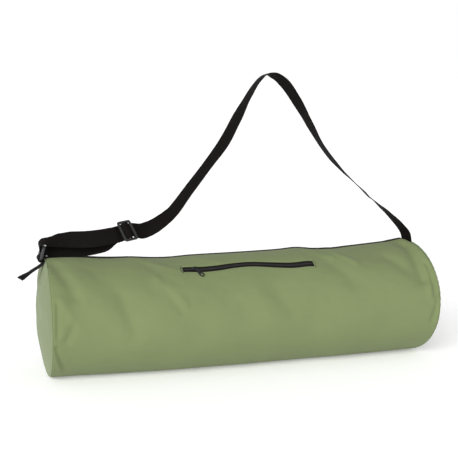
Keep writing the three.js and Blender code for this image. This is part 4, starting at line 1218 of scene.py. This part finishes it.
def stitches_along(points, out, pitch=STITCH_PITCH, length=STITCH_LENGTH, radius=THREAD_RADIUS):
    """Points and faces of evenly spaced stitches along a line that lies on cloth."""
    steps = np.linalg.norm(np.diff(points, axis=0), axis=1)
    run = np.concatenate([[0], np.cumsum(steps)])
    count = int(run[-1] / pitch)
    middles = (np.arange(count) + 0.5) * run[-1] / count
    places = middles[:, None] + STITCH_ARC[None, :] * length / 2
    path = np.stack([np.interp(places, run, points[:, k]) for k in range(3)], axis=-1)
    up = unit(np.stack([np.interp(places, run, out[:, k]) for k in range(3)], axis=-1))
    way = unit(np.gradient(path, axis=1))
    aside = unit(np.cross(way, up))
    bow = radius * (1.1 - 2.2 * STITCH_ARC**2)
    path = path + up * bow[None, :, None]
    turn = np.arange(THREAD_SIDES) * 2 * math.pi / THREAD_SIDES
    rings = (
        path[:, :, None] + radius * np.cos(turn)[None, None, :, None] * aside[:, :, None]
        + radius * np.sin(turn)[None, None, :, None] * up[:, :, None]
    )
    one = tube_faces(len(STITCH_ARC), THREAD_SIDES)
    return rings.reshape(-1, 3), repeated(one, count, len(STITCH_ARC) * THREAD_SIDES)


def stitch_piece(name, lines, slot):
    points, faces = [], []
    for line_points, line_faces in lines:
        faces += repeated(line_faces, 1, 0, start=sum(len(part) for part in points))
        points.append(line_points)
    return sew_on(new_piece(name, np.vstack(points), faces), slot)


# %% Sew the hems and the window of the pocket
def along_cloth(line, first, last, arcs):
    """A stitched line at a distance from a zip's line, in small steps."""
    at = np.linspace(first, last, 400)
    deg = column(line, "deg", at) + np.degrees(arcs / BAG_RADIUS)
    return stitches_along(*cloth_surface(at, deg))


zip_side = MAIN_ZIP_GAP / 2 + STITCH_INSET
window_side = POCKET_HEIGHT / 2 + STITCH_INSET * 0.8
hem_lines = [along_cloth(MAIN_ZIP_LINE, -HEM_STITCH_END, HEM_STITCH_END, side * zip_side) for side in (1, -1)]
window_lines = [along_cloth(POCKET_LINE, POCKET_LEFT, POCKET_RIGHT, side * window_side) for side in (1, -1)]
green_stitches = stitch_piece("hem_stitches", hem_lines + window_lines, "green_cloth")

# The stitches round the two ends of the window are drawn thicker and near black.
end_lines = []
for side, end_at in ((-1, POCKET_LEFT), (1, POCKET_RIGHT)):
    turn = np.radians(np.linspace(-90, 90, 60))
    at = end_at + side * (window_side - POCKET_HEIGHT / 2) * np.cos(turn) * 1.6 / BAG_LENGTH
    deg = column(POCKET_LINE, "deg", at) + np.degrees(window_side * np.sin(turn) / BAG_RADIUS)
    points, out = cloth_surface(at, deg)
    end_lines.append(stitches_along(points, out, END_STITCH_PITCH, END_STITCH_LENGTH, END_THREAD_RADIUS))
dark_end_stitches = stitch_piece("pocket_end_stitches", end_lines, "webbing")

# %% [markdown]
# ## Bar tacks on the webbing
# Webbing is held by dense short rows of zigzag thread, called bar tacks. One of them closes the anchor
# loop beside the ring. It is a single zigzag line whose points lie close together, laid on the
# upper face of the loop.

# %% Sew the tack of the anchor loop
TACK_WIDTH = 20 * MM
TACK_TURNS = 30
TACK_SWING = 0.9 * MM
TACK_PITCH = 1.3 * MM
TACK_STITCH = 1.25 * MM
TACK_THREAD = 0.2 * MM
TACK_OUT = 0.4 * MM              # of its middle, out from the left end seam
TACK_REST = 0.15 * MM            # of the thread on the webbing


def bar_tack(middle, across, along, out, width=TACK_WIDTH):
    steps = np.linspace(-0.5, 0.5, TACK_TURNS * 2 + 1)
    swing = np.where(np.arange(len(steps)) % 2 == 0, 1.0, -1.0) * TACK_SWING
    line = middle + across * (steps * width)[:, None] + along * swing[:, None]
    outs = np.repeat(out[None, :], len(line), axis=0)
    return stitches_along(line, outs, TACK_PITCH, TACK_STITCH, TACK_THREAD)


tack_up = np.array([0.0, 0.0, 1.0])
tack_along = np.array([1.0, 0.0, 0.0])
tack_top = seam_top[2] + ANCHOR_OUT["up"][0] * MM + TACK_REST + web_half
tack_middle = np.array([seam_top[0] - TACK_OUT, 0.0, tack_top])
tacks = stitch_piece("anchor_tacks", [bar_tack(tack_middle, FRONT, tack_along, tack_up)], "webbing")

# %% [markdown]
# ## Small effects as node groups
# A finish is put together from effects that are useful by themselves: a weave, the lie of webbing,
# uneven dye and fine lint. Each is a node group with named sockets, so other materials can take it up.
# A few short helpers wire the nodes, because long chains of maths read best as formulas.

# %% Helpers that build node groups
SOCKET_TYPES = {"float": "NodeSocketFloat", "vector": "NodeSocketVector", "color": "NodeSocketColor"}


def new_group(name, inputs, outputs):
    group = bpy.data.node_groups.new(name, "ShaderNodeTree")
    for socket, kind, value in inputs:
        made = group.interface.new_socket(name=socket, in_out="INPUT", socket_type=SOCKET_TYPES[kind])
        if value is not None:
            made.default_value = value
    for socket, kind in outputs:
        group.interface.new_socket(name=socket, in_out="OUTPUT", socket_type=SOCKET_TYPES[kind])
    entry = group.nodes.new("NodeGroupInput")
    leave = group.nodes.new("NodeGroupOutput")
    return group, entry.outputs, leave.inputs


def plug(tree, socket, value):
    """Link a socket to another one, or set it to a constant."""
    if isinstance(value, bpy.types.NodeSocket):
        tree.links.new(value, socket)
    else:
        socket.default_value = value


def fill(tree, node, **values):
    """Link or set inputs of a node by name, with an underscore where the name has a space."""
    for name, value in values.items():
        plug(tree, node.inputs[name.replace("_", " ")], value)


def maths(tree, operation, *values):
    node = tree.nodes.new("ShaderNodeMath")
    node.operation = operation
    for socket, value in zip(node.inputs, values):
        plug(tree, socket, value)
    return node.outputs[0]


def times(tree, first, second):
    return maths(tree, "MULTIPLY", first, second)


def humps(tree, value, rate=1):
    """A row of round humps, so many for each step of the value."""
    return maths(tree, "ABSOLUTE", maths(tree, "SINE", times(tree, value, rate * math.pi)))


def parts_of(tree, vector):
    node = tree.nodes.new("ShaderNodeSeparateXYZ")
    plug(tree, node.inputs[0], vector)
    return node.outputs


def noise(tree, vector, scale, detail=3.0, roughness=0.5):
    node = tree.nodes.new("ShaderNodeTexNoise")
    fill(tree, node, Vector=vector, Scale=scale, Detail=detail, Roughness=roughness)
    return node.outputs[0]


def stretched(tree, vector, factors):
    node = tree.nodes.new("ShaderNodeVectorMath")
    node.operation = "MULTIPLY"
    plug(tree, node.inputs[0], vector)
    node.inputs[1].default_value = factors
    return node.outputs[0]


def spread(tree, value, low, high, to_low, to_high):
    node = tree.nodes.new("ShaderNodeMapRange")
    for socket, item in zip(list(node.inputs)[:5], (value, low, high, to_low, to_high)):
        plug(tree, socket, item)
    return node.outputs[0]


# %% [markdown]
# ## Plain weave
# In a plain weave each thread goes over one and under the next, so the raised spots stand like the
# black squares of a chess board. A sine wave across each set of threads makes them round, and the
# squares say which set lies on top. The group also says where one looks between the threads, and
# lets single threads be a bit paler or darker, as cotton yarn is.

# %% Make the weave group
weave, given, result = new_group(
    "plain weave",
    [("Place", "vector", None), ("Threads per metre", "float", 1400.0), ("Slubs", "float", 0.5)],
    [("Height", "float"), ("Gap", "float"), ("Thread tone", "float")],
)
u, v, _ = parts_of(weave, given["Place"])
warp = times(weave, u, given["Threads per metre"])
weft = times(weave, v, given["Threads per metre"])
warp_round = humps(weave, warp)
weft_round = humps(weave, weft)
cell = maths(weave, "ADD", maths(weave, "FLOOR", warp), maths(weave, "FLOOR", weft))
check = maths(weave, "MODULO", cell, 2.0)
over = maths(weave, "ABSOLUTE", check)
warp_part = times(weave, warp_round, over)
weft_part = times(weave, weft_round, maths(weave, "SUBTRACT", 1.0, over))
plug(weave, result["Height"], maths(weave, "ADD", warp_part, weft_part))
lower = maths(weave, "MINIMUM", warp_round, weft_round)
plug(weave, result["Gap"], spread(weave, lower, 0.05, 0.4, 1.0, 0.0))
warp_slub = noise(weave, stretched(weave, given["Place"], (1.0, 0.02, 1.0)), given["Threads per metre"])
weft_slub = noise(weave, stretched(weave, given["Place"], (0.02, 1.0, 1.0)), given["Threads per metre"])
both = maths(weave, "ADD", warp_slub, weft_slub)
tone = times(weave, maths(weave, "SUBTRACT", both, 1.0), given["Slubs"])
plug(weave, result["Thread tone"], tone)
print("weave group:", len(weave.nodes), "nodes")

# %% [markdown]
# ## Webbing ribs
# Webbing of this kind shows fine ribs that run slantwise and turn back at the middle, with a plain
# bound edge. The slant comes from adding the place across the band to the place along it.

# %% Make the rib group
ribs, given, result = new_group(
    "webbing ribs",
    [("Place", "vector", None), ("Rib length", "float", 0.0016), ("Half width", "float", 0.015)],
    [("Height", "float"), ("Edge", "float")],
)
along, across, _ = parts_of(ribs, given["Place"])
aside = maths(ribs, "ABSOLUTE", across)
slant = maths(ribs, "DIVIDE", maths(ribs, "ADD", along, aside), given["Rib length"])
rib = humps(ribs, slant)
fine = humps(ribs, maths(ribs, "DIVIDE", across, given["Rib length"]), rate=2)
edge_share = maths(ribs, "DIVIDE", aside, given["Half width"])
edge_mask = spread(ribs, edge_share, 0.88, 0.94, 0.0, 1.0)
body_height = times(ribs, rib, maths(ribs, "SUBTRACT", 1.0, edge_mask))
edge_height = times(ribs, fine, edge_mask)
plug(ribs, result["Height"], maths(ribs, "ADD", body_height, edge_height))
plug(ribs, result["Edge"], edge_mask)
print("rib group:", len(ribs.nodes), "nodes")

# %% [markdown]
# ## Uneven dye and lint
# Dyed cotton is never quite even: broad soft patches are a shade paler where the cloth was stretched
# or rubbed. Lint is made of tiny pale specks that stay on black webbing and tape.
# Both groups only give a mask, and each material decides how strongly to use it.

# %% Make the dye and lint groups
dye, given, result = new_group(
    "uneven dye", [("Place", "vector", None), ("Patch size", "float", 0.09)], [("Mask", "float")],
)
per_metre = maths(dye, "DIVIDE", 1.0, given["Patch size"])
broad = noise(dye, given["Place"], per_metre, 2.0)
small = noise(dye, given["Place"], times(dye, per_metre, 9.0), 4.0, 0.6)
mixed = maths(dye, "ADD", times(dye, broad, 0.65), times(dye, small, 0.35))
plug(dye, result["Mask"], spread(dye, mixed, 0.3, 0.7, 0.0, 1.0))

lint, given, result = new_group(
    "lint specks", [("Place", "vector", None), ("Specks per metre", "float", 700.0)], [("Mask", "float")],
)
spots = noise(lint, given["Place"], given["Specks per metre"], 1.0)
where = noise(lint, given["Place"], 40.0, 2.0)
speck = spread(lint, spots, 0.66, 0.74, 0.0, 1.0)
dense = times(lint, speck, spread(lint, where, 0.4, 0.65, 0.1, 1.0))
plug(lint, result["Mask"], dense)
print("dye and lint groups:", len(dye.nodes), "and", len(lint.nodes), "nodes")

# %% [markdown]
# ## Putting a material together
# Every finish below has the same plan: a base colour made paler or darker by masks, a bump from the
# height of its structure, and constants set on the shader itself where nothing varies.
# Woven pieces ask for their own thread place, and cast pieces use the place in their own space.

# %% Helpers that put a material together
def start_material(name):
    material = bpy.data.materials.new(name)
    material.use_nodes = True
    return material, material.node_tree, material.node_tree.nodes["Principled BSDF"]


def use_group(tree, group, **values):
    node = tree.nodes.new("ShaderNodeGroup")
    node.node_tree = group
    fill(tree, node, **values)
    return node.outputs


def thread_place(tree):
    node = tree.nodes.new("ShaderNodeAttribute")
    node.attribute_name = "thread_place"
    return node.outputs["Vector"]


def solid_place(tree):
    return tree.nodes.new("ShaderNodeTexCoord").outputs["Object"]


def mix(tree, factor, first, second):
    node = tree.nodes.new("ShaderNodeMix")
    node.data_type = "RGBA"
    plug(tree, node.inputs["Factor"], factor)
    plug(tree, node.inputs[6], first)
    plug(tree, node.inputs[7], second)
    return node.outputs[2]


def bump(tree, shader, height, distance, strength=1.0):
    node = tree.nodes.new("ShaderNodeBump")
    fill(tree, node, Strength=strength, Distance=distance, Height=height)
    plug(tree, shader.inputs["Normal"], node.outputs[0])


LINT_COLOUR = (0.2, 0.19, 0.18, 1.0)
SCUFF_COLOUR = (0.2, 0.2, 0.2, 1.0)
SHEEN_COLOUR = (0.85, 0.9, 0.75, 1.0)


def shade(colour, factor):
    return (colour[0] * factor, colour[1] * factor, colour[2] * factor, 1.0)


# %% Canvas
def canvas_material(name, colour, sheen):
    material, tree, shader = start_material(name)
    place = thread_place(tree)
    threads = use_group(tree, weave, Place=place)
    patches = use_group(tree, dye, Place=place)["Mask"]
    base = mix(tree, patches, shade(colour, 0.95), shade(colour, 1.05))
    slubs = spread(tree, threads["Thread tone"], -0.4, 0.4, 0.0, 1.0)
    toned = mix(tree, slubs, shade(colour, 0.9), shade(colour, 1.1))
    cloth = mix(tree, 0.4, base, toned)
    shadowed = times(tree, threads["Gap"], 0.28)
    fill(
        tree, shader, Base_Color=mix(tree, shadowed, cloth, shade(colour, 0.45)), Roughness=0.92,
        Specular_IOR_Level=0.12, Sheen_Weight=sheen, Sheen_Roughness=0.5, Sheen_Tint=SHEEN_COLOUR,
    )
    bump(tree, shader, threads["Height"], 0.12 * MM, 0.7)
    return material


# %% Webbing and zip tape
def webbing_material(name, colour, half_width):
    material, tree, shader = start_material(name)
    place = thread_place(tree)
    rib_out = use_group(tree, ribs, Place=place, Half_width=half_width)
    specks = use_group(tree, lint, Place=place)["Mask"]
    # Painted shade: the low parts between the ribs are darkened in the colour.
    low = maths(tree, "SUBTRACT", 1.0, rib_out["Height"])
    ribs_with_groove_shade = mix(tree, times(tree, low, 0.6), shade(colour, 1.1), shade(colour, 0.4))
    fluff = times(tree, specks, 0.12)
    linty = mix(tree, fluff, ribs_with_groove_shade, LINT_COLOUR)
    fill(tree, shader, Base_Color=linty, Roughness=0.75, Specular_IOR_Level=0.08)
    bump(tree, shader, rib_out["Height"], 0.2 * MM, 0.8)
    return material


def tape_material(name, colour):
    material, tree, shader = start_material(name)
    place = thread_place(tree)
    threads = use_group(tree, weave, Place=place, Threads_per_metre=2400.0)
    # Painted shade: the tape's colour is darkened to half in the gaps between the threads.
    woven_with_gap_shade = mix(tree, threads["Gap"], shade(colour, 1.1), shade(colour, 0.5))
    fill(tree, shader, Base_Color=woven_with_gap_shade, Roughness=0.8, Specular_IOR_Level=0.12)
    bump(tree, shader, threads["Height"], 0.06 * MM, 0.6)
    return material


# %% Plastic, lacquer and thread
def cast_material(name, colour, roughness, metallic, grain):
    """Plastic or lacquer: a fine grain, and patches that are rubbed a little smoother."""
    material, tree, shader = start_material(name)
    place = solid_place(tree)
    patches = use_group(tree, dye, Place=place, Patch_size=0.012)["Mask"]
    specks = use_group(tree, lint, Place=place, Specks_per_metre=1500.0)["Mask"]
    base = mix(tree, patches, shade(colour, 0.85), shade(colour, 1.2))
    scuffs = times(tree, specks, 0.15)
    scuffed = mix(tree, scuffs, base, SCUFF_COLOUR)
    gloss = spread(tree, patches, 0.0, 1.0, roughness + 0.06, roughness - 0.06)
    fill(tree, shader, Base_Color=scuffed, Roughness=gloss, Metallic=metallic)
    bump(tree, shader, noise(tree, place, 3000.0, 2.0), grain, 0.4)
    return material


# %% Dress every piece
GREEN = (0.144, 0.178, 0.080)
# The ends are the same canvas as the body. Their colour is painted paler and greyer: painted light, for the
# light from the left and the sheen at a grazing view.
GREEN_END_PAINTED_LIGHTER = (0.154, 0.187, 0.099)
WEB_BLACK = (0.0030, 0.0019, 0.0017)
finishes = {
    "green_cloth": canvas_material("green canvas", GREEN, 0.10),
    "green_cloth_end": canvas_material("green canvas of the ends, painted lighter", GREEN_END_PAINTED_LIGHTER, 0.18),
    "webbing": webbing_material("black webbing", WEB_BLACK, WEB_WIDTH / 2),
    "zip_tape": tape_material("black zip tape", (0.010, 0.0080, 0.0080)),
    "zip_coil": cast_material("black nylon teeth", (0.008, 0.0065, 0.0065), 0.65, 0.0, 0.02 * MM),
    "zip_metal": cast_material("black lacquered metal", (0.0065, 0.0062, 0.0066), 0.5, 0.1, 0.02 * MM),
    "buckle_plastic": cast_material("black moulded plastic", (0.0095, 0.0100, 0.0104), 0.5, 0.0, 0.03 * MM),
    "green_thread": cast_material("green thread", (0.150, 0.185, 0.085), 0.8, 0.0, 0.02 * MM),
    "black_thread": cast_material("black thread", (0.006, 0.0055, 0.0055), 0.8, 0.0, 0.02 * MM),
}
dressed = [
    (body, "green_cloth"), (end_left, "green_cloth_end"), (end_right, "green_cloth_end"),
    *((piece, "zip_tape") for piece in tapes), *((piece, "zip_coil") for piece in coils),
    *((piece, "zip_metal") for piece in metal_pieces),
    *((piece, "webbing") for piece in (strap, anchor, tab)),
    *((piece, "buckle_plastic") for piece in (buckle, ring)),
    (green_stitches, "green_thread"), (dark_end_stitches, "black_thread"), (tacks, "black_thread"),
]
for piece, finish in dressed:
    piece.data.materials.clear()
    piece.data.materials.append(finishes[finish])
print(len(dressed), "pieces dressed in", len(finishes), "finishes")

# %% [markdown]
# ## Floor and light
# For such a photo the bag lies on a white sheet that is lit from below, so the floor is wide, glows a
# little and lights the underside. The walls of the room are white, and its ceiling is dimmer.
# One broad soft light stands low at the front left. It makes the middle height of the tube the
# brightest part, leaves the top a bit darker and shows the folds.

# %% Set the floor and the lights
FLOOR_SIZE = 60.0
PAPER_WHITE = (0.93, 0.93, 0.93, 1.0)
KEY_STRENGTH = 4.3
WALL_LIGHT = 1.0
CEILING_LIGHT = 0.4
FLOOR_GLOW = 0.17
KEY_SPREAD = 55                  # degrees of the disc that the light comes from
KEY_AZIMUTH = -32                # degrees to the left of straight in front
KEY_ELEVATION = 18
WALL_TOP = 0.15                  # height of a view into the room, from 0 level to 1 straight up
CEILING_FROM = 0.8

corners = [(x * FLOOR_SIZE, y * FLOOR_SIZE, 0) for x, y in ((-1, -1), (1, -1), (1, 1), (-1, 1))]
floor = new_piece("floor", corners, [(0, 1, 2, 3)])
paper, _, shader = start_material("white paper")
fill(
    paper.node_tree, shader, Base_Color=PAPER_WHITE, Roughness=0.95, Specular_IOR_Level=0.1,
    Emission_Color=(1.0, 1.0, 1.0, 1.0), Emission_Strength=FLOOR_GLOW,
)
floor.data.materials.append(paper)

key_data = bpy.data.lights.new("key", "SUN")
key_data.energy = KEY_STRENGTH
key_data.angle = math.radians(KEY_SPREAD)
key = bpy.data.objects.new("key", key_data)
key.rotation_euler = (math.radians(90 - KEY_ELEVATION), 0, math.radians(KEY_AZIMUTH))
bpy.context.collection.objects.link(key)

room = bpy.data.worlds.new("room")
room.use_nodes = True
sky = room.node_tree
height = parts_of(sky, sky.nodes.new("ShaderNodeTexCoord").outputs["Generated"])[2]
background = sky.nodes["Background"].inputs
plug(sky, background["Strength"], spread(sky, height, WALL_TOP, CEILING_FROM, WALL_LIGHT, CEILING_LIGHT))
background["Color"].default_value = (1.0, 1.0, 1.0, 1.0)
bpy.context.scene.world = room
bpy.context.scene.view_settings.view_transform = "Standard"
print("key light of", KEY_STRENGTH, "over", KEY_SPREAD, "degrees, and a room with a dim ceiling")
